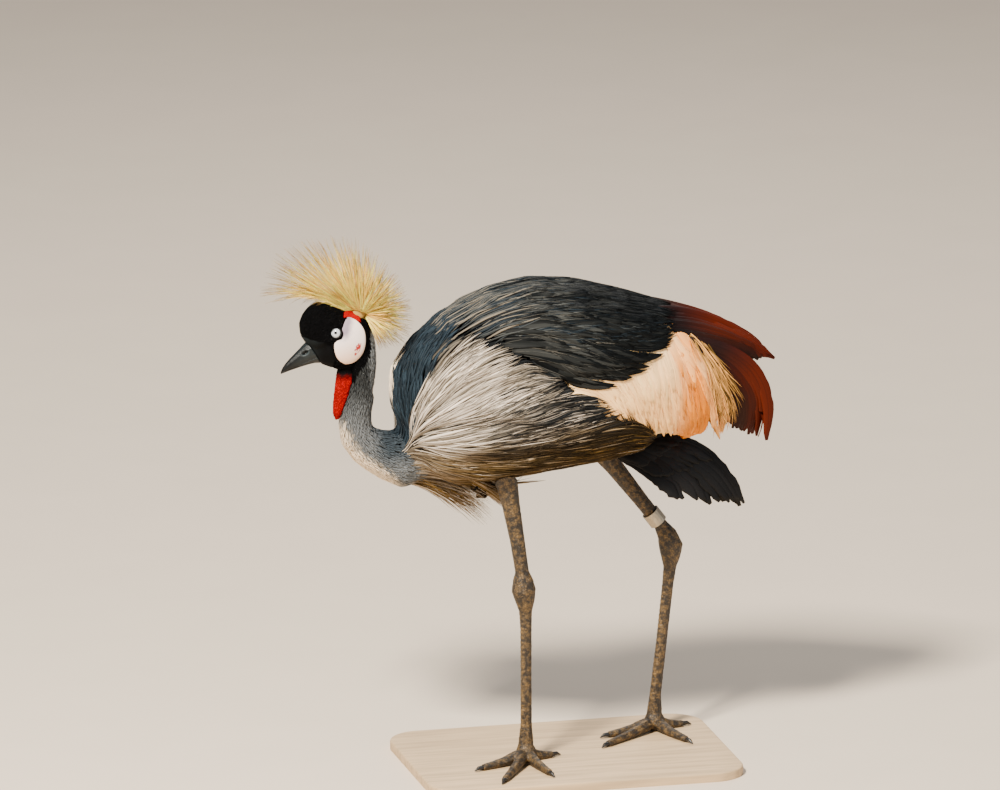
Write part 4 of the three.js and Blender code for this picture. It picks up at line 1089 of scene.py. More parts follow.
class CRANE_OT_panel(CraneStep, bpy.types.Operator):
    """Creamy white coverts of the wing, and the loose straw plumes behind them"""
    bl_idname = "crane.panel"
    bl_label = "White and straw plumes"

    def execute(self, context):
        form = form_of("body")

        def golden(base, points, rng):
            left = np.interp(points[:, 2], (434, 580), (190, 176))
            right = np.interp(points[:, 2], (431, 580), (226, 202))
            share = smoothstep(-5, 5, points[:, 0] - left) * smoothstep(6, -4, points[:, 0] - right)
            share += 0.25 * smoothstep(-22, 0, points[:, 0] - left) * (1 - share)
            return blend(base, colour("straw"), np.clip(share * rng.normal(1.08, 0.2, len(points)), 0, 1))

        def keep(line):
            kept = inside(line[:, -1], PANEL_AREA) | (line[:, -1, 0] > 236)
            for k in range(2, line.shape[1] - 1, 2):
                kept &= inside(line[:, k], PANEL_AREA)
            return kept

        for side, word in ((-1, "left"), (1, "right")):
            def wanted(points, normals):
                return outward(points, normals, side) & inside(points, PANEL_AREA)

            def tint(points, rng):
                root, tip = points[:, 0], points[:, -1]
                base = blend(colour("white"), colour("peach"), smoothstep(560, 440, root[:, 2]) * 0.6)
                low = blend(colour("white"), colour("peach"), smoothstep(560, 440, tip[:, 2]) * 0.8)
                shift = rng.normal(0, 0.04, (len(root), 1))
                return golden(base, root, rng) * (1 + shift), golden(low, tip, rng) * (1 + shift)

            wide = plumes("panel", form, 71 + side, wanted, PANEL_LIE, 8, shape=LANCE, rise=1.0, sink=1.6, thick=0.8, sides=5,
                          camber=0.05, ragged=0.1, wander=3, tint=tint, keep=keep)
            hairs = plumes("panel", form, 75 + side, wanted, PANEL_LIE, 8, shape=HAIR, rise=1.4, sink=1.0, thick=0.5,
                           wide=0.1, spread=0.6, wander=4, tint=tint, keep=keep)
            coat_piece("white_coat_" + word, [wide, hairs], plumage("white_vanes", 8, 0.16, 0.05, 0.04, 0.65, 0.2),
                       ["white_coverts_" + word])

            def straw_wanted(points, normals):
                return outward(points, normals, side) & inside(points, STRAW_AREA)

            def straw_tint(points, rng):
                share = rng.normal(0.5, 0.3, len(points)) - smoothstep(225, 250, points[:, 0, 0]) * 0.1
                base = toned(share, colour("maroon"), colour("plume_gold"), colour("peach") * 0.7, colour("peach"))
                # Root darker than tip: painted shade where the root lies under its neighbours
                return base * 0.75, base * 1.1

            straw = plumes("straw", form, 81 + side, straw_wanted, PANEL_LIE, 9, shape=HAIR, rise=3.5, sink=1, thick=0.6,
                           spread=0.8, wander=9, tint=straw_tint, keep=lambda line: inside(line[:, -2], STRAW_AREA))
            coat_piece("straw_coat_" + word, [straw], plumage("straw_vanes", 3, 0.3, 0.2, 0.1, 0.6, 0.2),
                       ["straw_plumes_" + word])
        return {"FINISHED"}


# Flight feathers: root, middle and tip of the first and the last of a fan
def dropped(form, flat, side):
    """Lines of the side view dropped on one side of the form; past its edge they keep their depth"""
    count, stations = flat.shape[:2]
    points = np.zeros((count, stations, 3))
    points[..., 0], points[..., 2] = flat[..., 0], flat[..., 1]
    normals = np.zeros_like(points)
    for i in range(count):
        for k in range(stations):
            origin = Vector((points[i, k, 0], side * 300, points[i, k, 2]))
            hit, normal, _, _ = form.tree.ray_cast(origin, Vector((0, -side, 0)))
            if hit is not None and hit.y * side > 4:
                points[i, k, 1] = hit.y
                normals[i, k] = normal
            elif k:
                points[i, k, 1] = points[i, k - 1, 1] - side * 1.2
                normals[i, k] = normals[i, k - 1]
            else:
                points[i, k, 1] = side * 30
                normals[i, k] = (0, side, 0)
    for _ in range(12):
        points[:, 1:-1, 1] = (points[:, :-2, 1] + points[:, 1:-1, 1] * 2 + points[:, 2:, 1]) / 4
        normals[:, 1:-1] = (normals[:, :-2] + normals[:, 1:-1] * 2 + normals[:, 2:]) / 4
    return points, unit(unit(normals) + np.array([0, side * 0.8, 0]))


def fan(first, last, count, steps):
    """Bowed lines of the side view between two given ones"""
    share = np.linspace(0, 1, steps + 1)
    lines = []
    for mix in np.linspace(0, 1, count):
        a, b, c = np.array(first) * (1 - mix) + np.array(last) * mix
        middle = 2 * b - (a + c) / 2
        lines.append(np.outer((1 - share) ** 2, a) + np.outer(2 * share * (1 - share), middle) + np.outer(share ** 2, c))
    return np.array(lines)


TERTIALS = ([(148, 592), (246, 564), (319, 512)], [(165, 558), (232, 540), (292, 521)])
SECONDARIES = ([(196, 554), (291, 502), (308, 404)], [(200, 512), (242, 478), (256, 432)])


class CRANE_OT_flight(CraneStep, bpy.types.Operator):
    """Chestnut tertials and maroon secondaries of the folded wings"""
    bl_idname = "crane.flight"
    bl_label = "Flight feathers"

    def execute(self, context):
        form = form_of("body")
        for side, word in ((-1, "left"), (1, "right")):
            for node, ends, depth, seed in (("tertials_", TERTIALS, (-0.5, -4), 91), ("secondaries_", SECONDARIES, (-1, -6), 95)):
                count = 12
                flat = fan(*ends, count, 22)
                rng = np.random.default_rng(seed + side)
                flat[:, -1] += rng.normal(0, 2, (count, 2))
                points, normals = dropped(form, flat, side)
                points[..., 1] += side * np.linspace(*depth, count)[:, None]
                share = np.linspace(0, 1, count)
                base = toned(share ** 1.5 * 0.9 + rng.normal(0, 0.06, count), colour("rufous"), colour("maroon") * 2, colour("maroon"))
                vanes = Vanes(points, normals, rng.uniform(7, 10, count), ROUND, 0.5, 1.0, thick=0.9, sides=7,
                              ragged=0.3, seed=seed, root_tint=base * 0.1 + colour("slate") * 0.9, tip_tint=base * 0.75,
                              camber=0.08, fade=(0.2, 0.5))
                coat_piece(node + "vanes_" + word, [vanes], plumage("rufous_vanes", 14, 0.3, 0.25, 0.25, 0.55, 0.12),
                           [node + word])
        return {"FINISHED"}


TAIL_MIDDLE = [(118, 398), (170, 411), (222, 397), (262, 362), (288, 312)]
TAIL_OUTER = [(118, 392), (138, 386), (158, 372), (176, 355), (192, 336)]


class CRANE_OT_tail(CraneStep, bpy.types.Operator):
    """Black brown tail feathers that droop in a roof, with their coverts"""
    bl_idname = "crane.tail"
    bl_label = "Tail"

    def execute(self, context):
        batches = []
        for count, reach, half, seed, lift in ((20, 1.0, 11, 101, 0.0), (24, 0.66, 10, 102, 2.0), (24, 0.42, 9, 103, 3.5)):
            rng = np.random.default_rng(seed)
            steps = 20
            aside = np.linspace(-1, 1, count)
            outer = np.abs(aside) ** 1.2
            share = np.linspace(0, 1, steps + 1) * reach
            knots = np.linspace(0, 1, 5)
            middle = np.stack([np.interp(share, knots, [p[k] for p in TAIL_MIDDLE]) for k in (0, 1)], 1)
            far = np.stack([np.interp(share, knots, [p[k] for p in TAIL_OUTER]) for k in (0, 1)], 1)
            for _ in range(4):
                for line in (middle, far):
                    line[1:-1] = (line[:-2] + line[1:-1] * 2 + line[2:]) / 4
            flat = middle + (far - middle) * outer[:, None, None]
            points = np.zeros((count, steps + 1, 3))
            points[..., 0] = flat[..., 0] + rng.normal(0, 3, (count, 1)) * share
            points[..., 1] = aside[:, None] * (8 + 30 * share) + np.sign(aside)[:, None] * lift * 0.4
            points[..., 2] = flat[..., 1] + lift + rng.normal(0, 2, (count, 1)) * share
            facing = np.stack([np.full(count, 0.3), np.sign(aside) * (0.9 + 0.7 * outer), np.full(count, 0.7)], 1)
            normals = np.repeat(unit(facing)[:, None], steps + 1, 1)
            base = varied(np.tile(colour("tail"), (count, 1)), rng, 0.2)
            batches.append(Vanes(points, normals, half * rng.uniform(0.9, 1.1, count), ROUND, 0.4, 0.4, thick=0.8, sides=7,
                                 ragged=0.4, seed=seed, root_tint=base, tip_tint=base, camber=0.1))
        coat_piece("tail_vanes", batches, plumage("tail_barbs", 14, 0.4, 0.3, 0.3, 0.5, 0.2), ["tail"])
        return {"FINISHED"}


class CRANE_OT_breast(CraneStep, bpy.types.Operator):
    """Hair-like plumes that hang from the lower breast"""
    bl_idname = "crane.breast"
    bl_label = "Breast and thighs"

    def execute(self, context):
        form = form_of("body")
        rng = np.random.default_rng(111)
        count, steps = 1100, 9
        x = rng.uniform(-172, -66, count)
        y = rng.normal(0, 24, count)
        roots = np.stack([x, y, np.full(count, 340.0)], 1)
        hits, normals = form.nearest(roots)
        reach = np.minimum(rng.uniform(50, 105, count), -44 - x + rng.normal(0, 5, count))
        drop = rng.uniform(0.35, 0.85, count)
        share = np.linspace(0, 1, steps + 1)
        points = hits[:, None] + np.zeros((count, steps + 1, 3))
        points[..., 0] += reach[:, None] * share
        points[..., 1] += rng.normal(0, 6, count)[:, None] * share
        points[..., 2] += 3 - (reach * drop)[:, None] * (0.35 * share + 0.65 * share ** 2) * 0.8
        face = np.repeat(normals[:, None], steps + 1, 1)
        base = toned(rng.normal(0.5, 0.28, count), colour("plume_gold") * 0.15, colour("plume_gold"), colour("plume_pale"))
        hairs = Vanes(points, face, rng.uniform(0.4, 0.9, count), HAIR, 0, 0, thick=0.4, seed=111, root_tint=base,
                      tip_tint=base * 0.9)
        coat_piece("breast_plumes", [hairs], plumage("breast_vanes", 3, 0.3, 0.2, 0.0, 0.6, 0.2))
        return {"FINISHED"}


CREST_MIDDLE = np.array([-226.0, 0.0, 600.0])
CREST_REACH = [(-60, 56), (-30, 74), (0, 71), (28, 70), (52, 74), (76, 86), (95, 104), (118, 118), (140, 137), (170, 134)]


def globe(name, middle, radii):
    """A smooth ellipsoid"""
    bm = bmesh.new()
    bmesh.ops.create_uvsphere(bm, u_segments=48, v_segments=32, radius=1)
    mesh = bpy.data.meshes.new(name)
    bm.to_mesh(mesh)
    bm.free()
    points = np.array([vert.co for vert in mesh.vertices]) * radii + middle
    move_corners(mesh, points)
    mesh.shade_smooth()
    piece = bpy.data.objects.new(name, mesh)
    bpy.context.scene.collection.objects.link(piece)
    return piece


class CRANE_OT_crest(CraneStep, bpy.types.Operator):
    """The stiff golden crest, bristle by bristle"""
    bl_idname = "crane.crest"
    bl_label = "Crest"

    def execute(self, context):
        count = sizes().bristles
        rng = np.random.default_rng(121)
        turn = rng.uniform(-62, 169, count)
        short = rng.random(count) < 0.3
        turn[short] = rng.uniform(80, 169, short.sum())
        ahead = smoothstep(132, 158, turn)
        aside = np.radians(rng.uniform(-1, 1, count) * np.interp(turn, (95, 130, 150), (50, 26, 9)))
        reach = np.interp(turn, *zip(*CREST_REACH)) * (1 - 0.34 * rng.random(count) ** 2.4) * (1 - 0.22 * (aside / 0.9) ** 2)
        reach[short] *= rng.uniform(0.2, 0.6, short.sum())
        angle = np.radians(turn)
        way = np.stack([np.cos(angle) * np.cos(aside), np.sin(aside), np.sin(angle) * np.cos(aside)], 1)
        start = np.radians(turn * 0.75 + 12)
        foot = np.stack([np.cos(start) * np.cos(aside), np.sin(aside), np.sin(start) * np.cos(aside)], 1)
        foot = CREST_MIDDLE + foot * np.array([12, 11, 8])
        foot -= np.outer(ahead * rng.uniform(0, 1, count) * 16, (1, 0, -0.12))
        tip = CREST_MIDDLE + way * reach[:, None]
        steps = 8
        share = np.linspace(0, 1, steps + 1)[None, :, None]
        arch = (foot + tip) / 2 + rng.normal(0, 0.02, (count, 3)) * reach[:, None]
        arch[:, 2] += ahead * np.clip(641 - arch[:, 2], 0, None) * smoothstep(40, 80, reach)
        points = foot[:, None] * (1 - share) ** 2 + arch[:, None] * 2 * share * (1 - share) + tip[:, None] * share ** 2
        points += rng.normal(0, 0.5, points.shape) * share
        normals = np.repeat(unit(np.cross(way, [0, 1.0, 0]) + 1e-6)[:, None], steps + 1, 1)
        base = varied(np.tile(colour("crest"), (count, 1)), rng, 0.26)
        half = sizes().bristle / MM
        bristles = Vanes(points, normals, np.full(count, half), [(0, 1), (0.8, 0.8), (1, 0.2)], 0, 0, thick=half * 1.2,
                         seed=121, root_tint=base * 1.4, tip_tint=base * 1.15, line=NECK_LINE)
        board = Board("crest_straw")
        across, along, chance = board.parts(board.attribute("vane", "Vector"))
        twist = ((along * 26 + chance * 9) * 6.283 + across * 2).sine()
        tint = board.shaded(board.attribute("tint", "Color"), twist * 0.2 + 0.98)
        tint = board.mix(along.step(0.58, 0.96) * (chance * 0.4 + 0.6), tint, colour("crest_tip"))
        coat_piece("crest_bristles", [bristles], board.finish(Base_Color=tint, Roughness=0.5), ["crest"])
        base = globe("crest_base", CREST_MIDDLE + np.array([-1, 0, 0.5]), (10, 5, 8))
        board = Board("crest_skin")
        grain = board.noise(board.place(), 900.0)
        dressed(base, board.finish(Base_Color=board.shaded(tuple(colour("crest")), grain * 0.5 + 0.2), Roughness=0.8,
                                   Normal=board.bump(grain, 0.0005)))
        return {"FINISHED"}


NOSTRIL = np.array([-299.5, 555.3])


def rounded(outline, rounds=3):
    """A closed outline with its corners cut"""
    for _ in range(rounds):
        after = np.roll(outline, -1, 0)
        outline = np.stack([outline * 0.75 + after * 0.25, outline * 0.25 + after * 0.75], 1).reshape(-1, 2)
    return outline


def cheek_shell(name, side):
    """A smooth closed shell that fills the cheek's outline on one side of the head"""
    edge = rounded(np.array(CHEEK_EDGE))
    middle = edge.mean(0)
    rings = np.array([1, 0.985, 0.95, 0.88, 0.78, 0.66, 0.52, 0.38, 0.24, 0.1])
    flat = middle + (edge - middle)[None] * rings[:, None, None]
    form = form_of("head")

    def bowl(places):
        u, v = (places - middle).T / 20
        return np.stack([np.ones_like(u), u, v, u * u, u * v, v * v], 1)

    probes = flat[3:].reshape(-1, 2)
    heights = []
    for x, z in probes:
        hit, _, _, _ = form.tree.ray_cast(Vector((x, side * 100, z)), Vector((0, -side, 0)))
        heights.append(hit.y)
    curve = np.linalg.lstsq(bowl(probes), np.array(heights), rcond=None)[0]
    bm = bmesh.new()

    def vert(place, out):
        y = float((bowl(place[None]) @ curve)[0]) + side * out
        return bm.verts.new(to_frame((place[0], y, place[1])))

    rise = -0.6 + 1.8 * (1 - rings ** 10) ** 0.5
    grid = [[vert(place, -3.0) for place in flat[0]]]
    grid += [[vert(place, out) for place in ring] for ring, out in zip(flat, rise)]
    count = len(edge)
    for inner, outer in zip(grid[1:], grid[:-1]):
        for i in range(count):
            j = (i + 1) % count
            bm.faces.new([outer[i], outer[j], inner[j], inner[i]])
    for ring, out in ((grid[-1], 1.2), (grid[0], -3.0)):
        top = vert(middle, out)
        for i in range(count):
            bm.faces.new([ring[i], ring[(i + 1) % count], top])
    bmesh.ops.recalc_face_normals(bm, faces=bm.faces)
    mesh = bpy.data.meshes.new(name)
    bm.to_mesh(mesh)
    bm.free()
    mesh.shade_smooth()
    piece = bpy.data.objects.new(name, mesh)
    bpy.context.scene.collection.objects.link(piece)
    return piece


class CRANE_OT_head(CraneStep, bpy.types.Operator):
    """Bill, cheeks, eyes, lids and wattle"""
    bl_idname = "crane.head"
    bl_label = "Head"

    def execute(self, context):
        self.bill()
        self.cheeks()
        self.eyes()
        self.wattle()
        self.brow()
        return {"FINISHED"}

    def bill(self):
        board = Board("bill_horn")
        place = board.place()
        x, z = board.side_view()
        streak = board.noise(board.node("ShaderNodeMapping", {"vector_type": "POINT"}, {
            "Vector": place, "Rotation": (0, math.radians(-32), 0), "Scale": (120, 900, 900)}), 1.0, 4.0)
        # Paler towards the base: partly the horn's blue grey, partly a painted highlight
        tint = board.mix(x.step(-325, -296) * (streak * 0.7 + 0.3), colour("bill"), colour("bill_pale"))
        # The nostril's pit is painted near black: painted shade inside the opening
        tint = board.shaded(tint, (streak * 0.7 + 0.6) * (1 - board.attribute("pit", "Fac") * 0.97))
        # The lower lip of the nostril is painted pale: a painted highlight where it faces the light
        tint = board.mix(board.attribute("rim", "Fac") * 0.7, tint, colour("bill_pale") * 4)
        finish = board.finish(Base_Color=tint, Roughness=streak * 0.25 + 0.26, Normal=board.bump(streak, 0.0004, 0.5),
                              Specular_IOR_Level=0.25)
        for node in ("bill_upper", "bill_lower"):
            horn = melted(node + "_horn", [node], 0.0006, 8)
            points, normals = corners(horn.data)
            along = (points[:, [0, 2]] - NOSTRIL) @ np.array([math.cos(math.radians(32)), math.sin(math.radians(32))])
            over = (points[:, [0, 2]] - NOSTRIL) @ np.array([-math.sin(math.radians(32)), math.cos(math.radians(32))])
            pit = np.exp(-((along / 4.6) ** 2 + (over / 2.3) ** 2) ** 3)
            rim = np.clip(np.exp(-((along / 5.8) ** 2 + ((over + 0.4) / 3.4) ** 2) ** 3) - pit, 0, 1)
            move_corners(horn.data, points + normals * (rim * 0.5 - pit * 1.6)[:, None])
            for name, value in (("pit", pit), ("rim", rim * smoothstep(1.2, -1.2, over))):
                layer = horn.data.attributes.new(name, "FLOAT", "POINT")
                layer.data.foreach_set("value", value.astype(np.float32))
            dressed(horn, finish, [node])

    def cheeks(self):
        board = Board("cheek_skin")
        place = board.place()
        x, z = board.side_view()
        speck = board.noise(place, 900.0, 3.0)
        soft = board.noise(place, 90.0, 2.0)
        lilac = ((z - 570) * 0.3 - (x + 243) + soft * 6).step(2, 12) * (z + soft * 6).step(572, 586)
        tint = board.mix(lilac * 0.9, colour("cheek"), colour("cheek_lilac"))
        low = 1 - (z + soft * 8).step(546, 578)
        tint = board.mix(low * 0.42, tint, colour("peach"))
        along = (x + 233.5) * 0.45 + (z - 560) * 0.89
        over = (x + 233.5) * 0.89 - (z - 560) * 0.45
        apart = ((along / 14) ** 2 + (over / 6) ** 2) ** 0.5
        blood = (1 - apart.step(0.5, 1.1) + board.noise(place, 300.0, 4.0)).step(1.38, 1.52)
        tint = board.mix(blood, tint, colour("red"))
        finish = board.finish(Base_Color=board.shaded(tint, speck * 0.24 + 0.88), Roughness=0.55,
                              Normal=board.bump(speck, 0.0003, 0.5))
        for side, word in ((-1, "left"), (1, "right")):
            dressed(cheek_shell("cheek_skin_" + word, side), finish, ["cheek_" + word])

    def eyes(self):
        for word in ("left", "right"):
            middle, look = eye_place(word)
            piece = globe("eyeball_" + word, middle, (7.9, 7.9, 7.9))
            board = Board("eye_" + word)
            centre = to_frame(middle)
            off = board.node("ShaderNodeVectorMath", {"operation": "SUBTRACT"}, {0: board.place(), 1: tuple(centre)})
            facing = board.node("ShaderNodeVectorMath", {"operation": "DOT_PRODUCT"}, {0: off, 1: tuple(look)}, "Value")
            depth = facing / (7.9 * MM)
            grain = board.noise(off, 1600.0, 3.0)
            iris = board.mix(grain, colour("iris") * 0.8, np.clip(colour("iris") * 1.3, 0, 1))
            tint = board.mix(depth.step(0.962, 0.972), iris, (0.003, 0.003, 0.003))
            tint = board.mix(1 - depth.step(0.67, 0.70), tint, (0.005, 0.005, 0.006))
            dressed(piece, board.finish(Base_Color=tint, Roughness=0.06, Coat_Weight=1.0), ["eye_" + word])
            self.lid(word, middle, look)

    def lid(self, word, middle, look):
        """A thin dark rim round the visible part of the eye"""
        bm = bmesh.new()
        around, section = 48, 8
        ring = []
        for i in range(around):
            a = 2 * math.pi * i / around
            spot = Vector((math.cos(a) * 6.6, math.sin(a) * 6.4, 4.5))
            ring.append([bm.verts.new(spot + Vector((math.cos(a), math.sin(a), 0)) * math.cos(b) * 1.1
                                      + Vector((0, 0, 1)) * math.sin(b) * 1.0)
                         for b in (2 * math.pi * k / section for k in range(section))])
        for i in range(around):
            for k in range(section):
                bm.faces.new([ring[i][k], ring[(i + 1) % around][k], ring[(i + 1) % around][(k + 1) % section],
                              ring[i][(k + 1) % section]])
        bmesh.ops.recalc_face_normals(bm, faces=bm.faces)
        mesh = bpy.data.meshes.new("lids_" + word)
        bm.to_mesh(mesh)
        bm.free()
        points = np.array([v.co for v in mesh.vertices])
        turn = np.array(Vector(look).to_track_quat("Z", "Y").to_matrix())
        mesh.vertices.foreach_set("co", to_frame(points @ turn.T + middle).astype(np.float32).ravel())
        mesh.update()
        mesh.shade_smooth()
        piece = bpy.data.objects.new("lids_" + word, mesh)
        bpy.context.scene.collection.objects.link(piece)
        board = Board("lid_skin_" + word)
        grain = board.noise(board.place(), 1500.0)
        dressed(piece, board.finish(Base_Color=board.shaded(tuple(colour("velvet")), grain + 0.6),
                                    Roughness=0.5, Normal=board.bump(grain, 0.0002)))

    def wattle(self):
        piece = melted("wattle_skin", ["wattle"], 0.0008, 6)
        points, normals = corners(piece.data)
        bumps = np.array([noise.voronoi(Vector(p) * 0.42)[0][0] for p in points])
        move_corners(piece.data, points + normals * (0.7 - bumps * 1.3)[:, None])
        board = Board("wattle_red")
        place = board.place()
        pebble = board.cells(place, 420.0)
        tint = board.mix(pebble.step(0.1, 0.6), colour("red"), colour("red") * 0.45)
        _, z = board.side_view()
        tint = board.mix((z + board.noise(place, 160.0) * 8).step(514, 530), tint, colour("velvet"))
        dressed(piece, board.finish(Base_Color=tint, Roughness=0.65, Normal=board.bump(1 - pebble, 0.0006, 0.6),
                                    Specular_IOR_Level=0.05), ["wattle"])

    def brow(self):
        """The slanting red band over each cheek"""
        board = Board("brow_red")
        grain = board.noise(board.place(), 700.0, 3.0)
        red = board.finish(Base_Color=board.mix(grain, colour("red"), colour("red") * 0.6), Roughness=0.6,
                           Normal=board.bump(grain, 0.0003), Specular_IOR_Level=0.05)
        for side, word in ((-1, "left"), (1, "right")):
            points, normals = dropped(form_of("head"), fan(*BROW, 4, 10), side)
            vanes = Vanes(points, normals, 1.8, ROUND, 1.0, -0.8, thick=0.6, sides=5, root_tint=colour("red"), line=NECK_LINE)
            coat_piece("brow_" + word, [vanes], red)


BROW = ([(-249, 605), (-238, 604), (-226.5, 596)], [(-250.5, 601.5), (-239.5, 600), (-227.5, 593)])


class CRANE_OT_legs(CraneStep, bpy.types.Operator):
    """Scaled legs with their scutes, the claws and the band"""
    bl_idname = "crane.legs"
    bl_label = "Legs"

    def execute(self, context):
        board = Board("leg_scales")
        place = board.place()
        edge = board.cells(place, 330.0, "DISTANCE_TO_EDGE")
        patch = board.noise(place, 150.0, 5.0, 0.65)
        # Painted highlight on the raised upper edge of each front scute
        worn = board.attribute("worn", "Fac")
        tint = board.mix((patch.step(0.4, 0.68) * 0.75 + worn * 0.5), colour("leg"), colour("leg_pale"))
        tint = board.shaded(tint, edge.step(0.0, 0.16) * 0.7 + 0.4)
        finish = board.finish(Base_Color=tint, Roughness=0.55, Normal=board.bump(edge.step(0.0, 0.2), 0.0005, 0.7))
        for word in ("left", "right"):
            nodes = sorted(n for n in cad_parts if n.endswith("_" + word))
            nodes = [n for n in nodes if n.split("_")[0] in ("tibia", "ankle", "tarsus", "foot", "toe")]
            piece = melted("leg_skin_" + word, nodes, 0.0011, 5)
            points, normals = corners(piece.data)
            ridge = np.array([noise.voronoi(Vector((p[0] * 0.33, p[1] * 0.33, p[2] * 0.2)))[0][0] for p in points])
            plate = np.mod(points[:, 2] / 6.5, 1)
            front = smoothstep(0.1, 0.7, -normals[:, 0]) * smoothstep(20, 40, points[:, 2]) * smoothstep(225, 190, points[:, 2])
            lift = front * (plate ** 2 * 0.5 - 0.15) + (1 - front) * (0.25 - ridge * 0.5)
            move_corners(piece.data, points + normals * lift[:, None])
            layer = piece.data.attributes.new("worn", "FLOAT", "POINT")
            layer.data.foreach_set("value", (front * plate ** 3).astype(np.float32))
            dressed(piece, finish, nodes)
        board = Board("claw_horn")
        grain = board.noise(board.place(), 500.0, 3.0)
        horn = board.finish(Base_Color=board.mix(grain, colour("claw"), colour("claw") * 2.2), Roughness=grain * 0.3 + 0.25,
                            Normal=board.bump(grain, 0.0003))
        for node in sorted(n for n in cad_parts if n.startswith("claw_")):
            dressed(melted(node + "_horn", [node], 0.0005, 4), horn, [node])
        board = Board("band_metal")
        grain = board.noise(board.place(), 350.0, 4.0)
        metal = board.finish(Base_Color=board.mix(grain, colour("band"), colour("band") * 0.6), Metallic=0.75,
                             Roughness=grain * 0.3 + 0.3, Normal=board.bump(grain, 0.0002))
        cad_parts["leg_band"].data.materials.clear()
        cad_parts["leg_band"].data.materials.append(metal)
        return {"FINISHED"}


BASE_CORNER = 45  # radius of the base's corners
BASE_EDGE = 2.5  # radius along its upper edge


class CRANE_OT_base(CraneStep, bpy.types.Operator):
    """The plain wooden base that the bird stands on, with a rounded upper edge"""
    bl_idname = "crane.base"
    bl_label = "Base"

    def execute(self, context):
        low, high = (np.array(corner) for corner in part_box("stand_base"))
        middle, half = (low + high) / 2, (high - low) / 2
        turns = np.radians(np.arange(0, 360, 6) + 3.0)
        round_way = np.stack([np.cos(turns), np.sin(turns)], 1)
        inner = half[:2] - BASE_CORNER * MM
        rings = [(low[2], 0.0), (high[2] - BASE_EDGE * MM, 0.0)]
        for angle in np.radians([22.5, 45, 67.5, 90]):
            rings.append((high[2] - BASE_EDGE * MM * (1 - math.sin(angle)), BASE_EDGE * MM * (1 - math.cos(angle))))
        bm = bmesh.new()
        grid = []
        for height, inset in rings:
            flat = middle[:2] + np.sign(round_way) * inner + round_way * (BASE_CORNER * MM - inset)
            grid.append([bm.verts.new((x, y, height)) for x, y in flat])
        for lower, upper in zip(grid[:-1], grid[1:]):
            for i, vert in enumerate(lower):
                j = (i + 1) % len(lower)
                bm.faces.new([vert, lower[j], upper[j], upper[i]])
        bm.faces.new(grid[-1])
        bm.faces.new(grid[0][::-1])
        bmesh.ops.triangulate(bm, faces=[face for face in bm.faces if len(face.verts) > 4])
        mesh = bpy.data.meshes.new("base_board")
        bm.to_mesh(mesh)
        bm.free()
        mesh.shade_smooth()
        piece = bpy.data.objects.new("base_board", mesh)
        context.scene.collection.objects.link(piece)
        mesh.set_sharp_from_angle(angle=math.radians(40))
        board = Board("base_wood")
        x, y, z = board.parts(board.place())
        grain = board.noise(board.vector(x * 0.06, y, z), 130.0, 5.0)
        tint = board.mix(grain.step(0.3, 0.75), colour("base"), colour("base") * 0.72)
        dressed(piece, board.finish(Base_Color=tint, Roughness=grain * 0.2 + 0.5, Normal=board.bump(grain, 0.0002)),
                ["stand_base"])
        return {"FINISHED"}


# The photograph's frame: its mark under the near foot, its scale and its view
PHOTO = {"width": 1000, "height": 790, "mark": (529, 750), "pixel": 0.0013, "azimuth": -14, "elevation": 15}


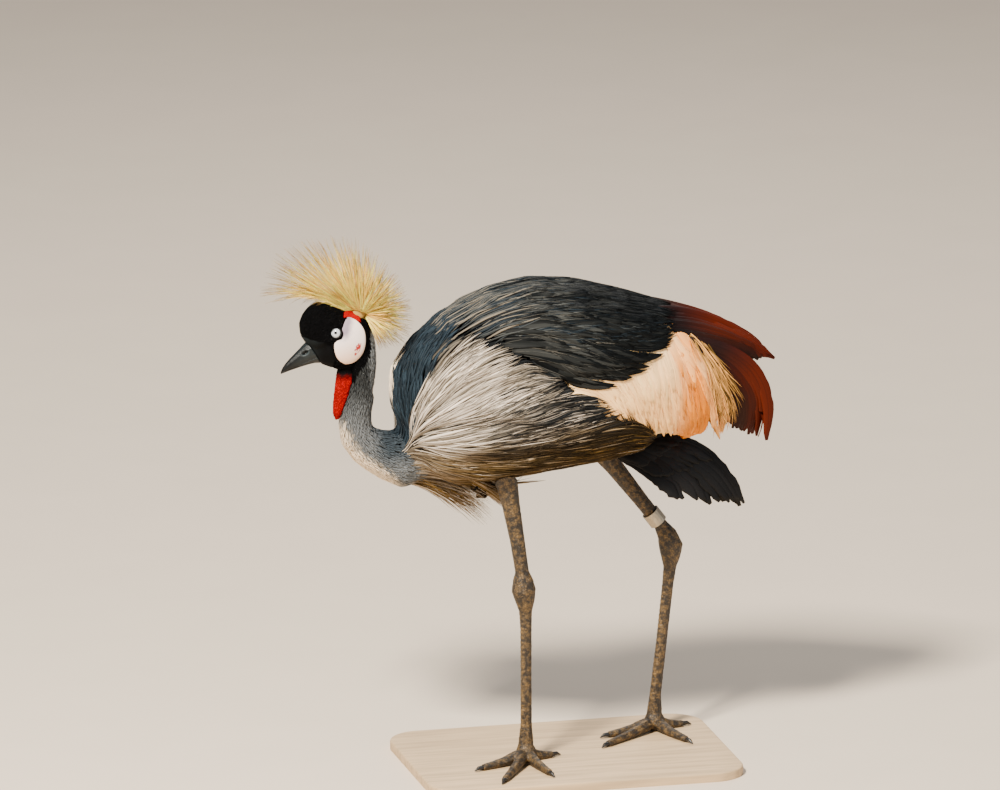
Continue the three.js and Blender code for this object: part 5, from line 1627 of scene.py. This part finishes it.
class CRANE_OT_stage(CraneStep, bpy.types.Operator):
    """Pale floor, soft lights and the camera at the photograph's view"""
    bl_idname = "crane.stage"
    bl_label = "Stage"

    def execute(self, context):
        azimuth, elevation = (math.radians(PHOTO[key]) for key in ("azimuth", "elevation"))
        right = Vector((math.cos(azimuth), math.sin(azimuth), 0))
        up = Vector((-math.sin(azimuth) * math.sin(elevation), math.cos(azimuth) * math.sin(elevation), math.cos(elevation)))
        back = right.cross(up)
        aside = (PHOTO["width"] / 2 - PHOTO["mark"][0]) * PHOTO["pixel"]
        above = (PHOTO["mark"][1] - PHOTO["height"] / 2) * PHOTO["pixel"]
        target = right * aside + up * above + Vector(MIDDLE) * MM
        data = bpy.data.cameras.new("Camera")
        data.sensor_width = 36
        data.lens = data.sensor_width * sizes().camera_distance / (PHOTO["width"] * PHOTO["pixel"])
        data.clip_end = 100
        camera = bpy.data.objects.new("Camera", data)
        context.scene.collection.objects.link(camera)
        camera.location = target + back * sizes().camera_distance
        camera.rotation_euler = back.to_track_quat("Z", "Y").to_euler()
        context.scene.camera = camera
        self.floor(context)
        self.lights(context, target)
        return {"FINISHED"}

    def floor(self, context):
        half = sizes().floor
        mesh = bpy.data.meshes.new("floor")
        mesh.from_pydata([(-half, -half, 0), (half, -half, 0), (half, half, 0), (-half, half, 0)], [], [(0, 1, 2, 3)])
        floor = bpy.data.objects.new("floor", mesh)
        context.scene.collection.objects.link(floor)
        board = Board("floor")
        grain = board.noise(board.place(), 8.0)
        mesh.materials.append(board.finish(
            Base_Color=board.shaded(board.mix(0.0, colour("floor"), colour("floor")), grain * 0.06 + 0.97), Roughness=0.9))

    def lights(self, context, target):
        for name, place, size, power, warmth in (
                ("key", (-1.7, -2.2, 2.9), 0.7, 520, (1.0, 0.93, 0.82)),
                ("fill", (2.6, -2.6, 1.2), 2.4, 30, (0.9, 0.95, 1.0)),
                ("rim", (0.8, 2.6, 2.4), 1.6, 60, (1.0, 0.98, 0.94))):
            data = bpy.data.lights.new(name, "AREA")
            data.size = size
            data.energy = power
            data.color = warmth
            light = bpy.data.objects.new(name, data)
            context.scene.collection.objects.link(light)
            light.location = target + Vector(place)
            light.rotation_euler = (light.location - target).to_track_quat("Z", "Y").to_euler()
        world = bpy.data.worlds.new("World")
        world.use_nodes = True
        world.node_tree.nodes["Background"].inputs["Color"].default_value = (0.86, 0.9, 1.0, 1)
        world.node_tree.nodes["Background"].inputs["Strength"].default_value = 0.3
        context.scene.world = world


STEPS = (
    CRANE_OT_stage, CRANE_OT_skin, CRANE_OT_velvet, CRANE_OT_neck, CRANE_OT_mantle, CRANE_OT_coverts, CRANE_OT_flanks,
    CRANE_OT_panel, CRANE_OT_flight, CRANE_OT_tail, CRANE_OT_breast, CRANE_OT_crest, CRANE_OT_head, CRANE_OT_legs,
    CRANE_OT_base,
)


class CRANE_PT_panel(bpy.types.Panel):
    """The steps that dress the crane, and its sizes and colours"""
    bl_idname = "CRANE_PT_panel"
    bl_label = "Grey crowned crane"
    bl_space_type = "VIEW_3D"
    bl_region_type = "UI"
    bl_category = "Crane"

    def draw(self, context):
        for step in STEPS:
            self.layout.operator(step.bl_idname)
        for group in (context.scene.crane_sizes, context.scene.crane_colours):
            box = self.layout.box()
            for name in group.__annotations__:
                box.prop(group, name)


CLASSES = (CraneColours, CraneSizes, *STEPS, CRANE_PT_panel)


def register():
    for cls in CLASSES:
        bpy.utils.register_class(cls)
    bpy.types.Scene.crane_colours = PointerProperty(type=CraneColours)
    bpy.types.Scene.crane_sizes = PointerProperty(type=CraneSizes)


def unregister():
    del bpy.types.Scene.crane_sizes
    del bpy.types.Scene.crane_colours
    for cls in reversed(CLASSES):
        bpy.utils.unregister_class(cls)


def main():
    register()
    for step in STEPS:
        group, name = step.bl_idname.split(".")
        getattr(getattr(bpy.ops, group), name)()


if __name__ == "__main__":
    main()
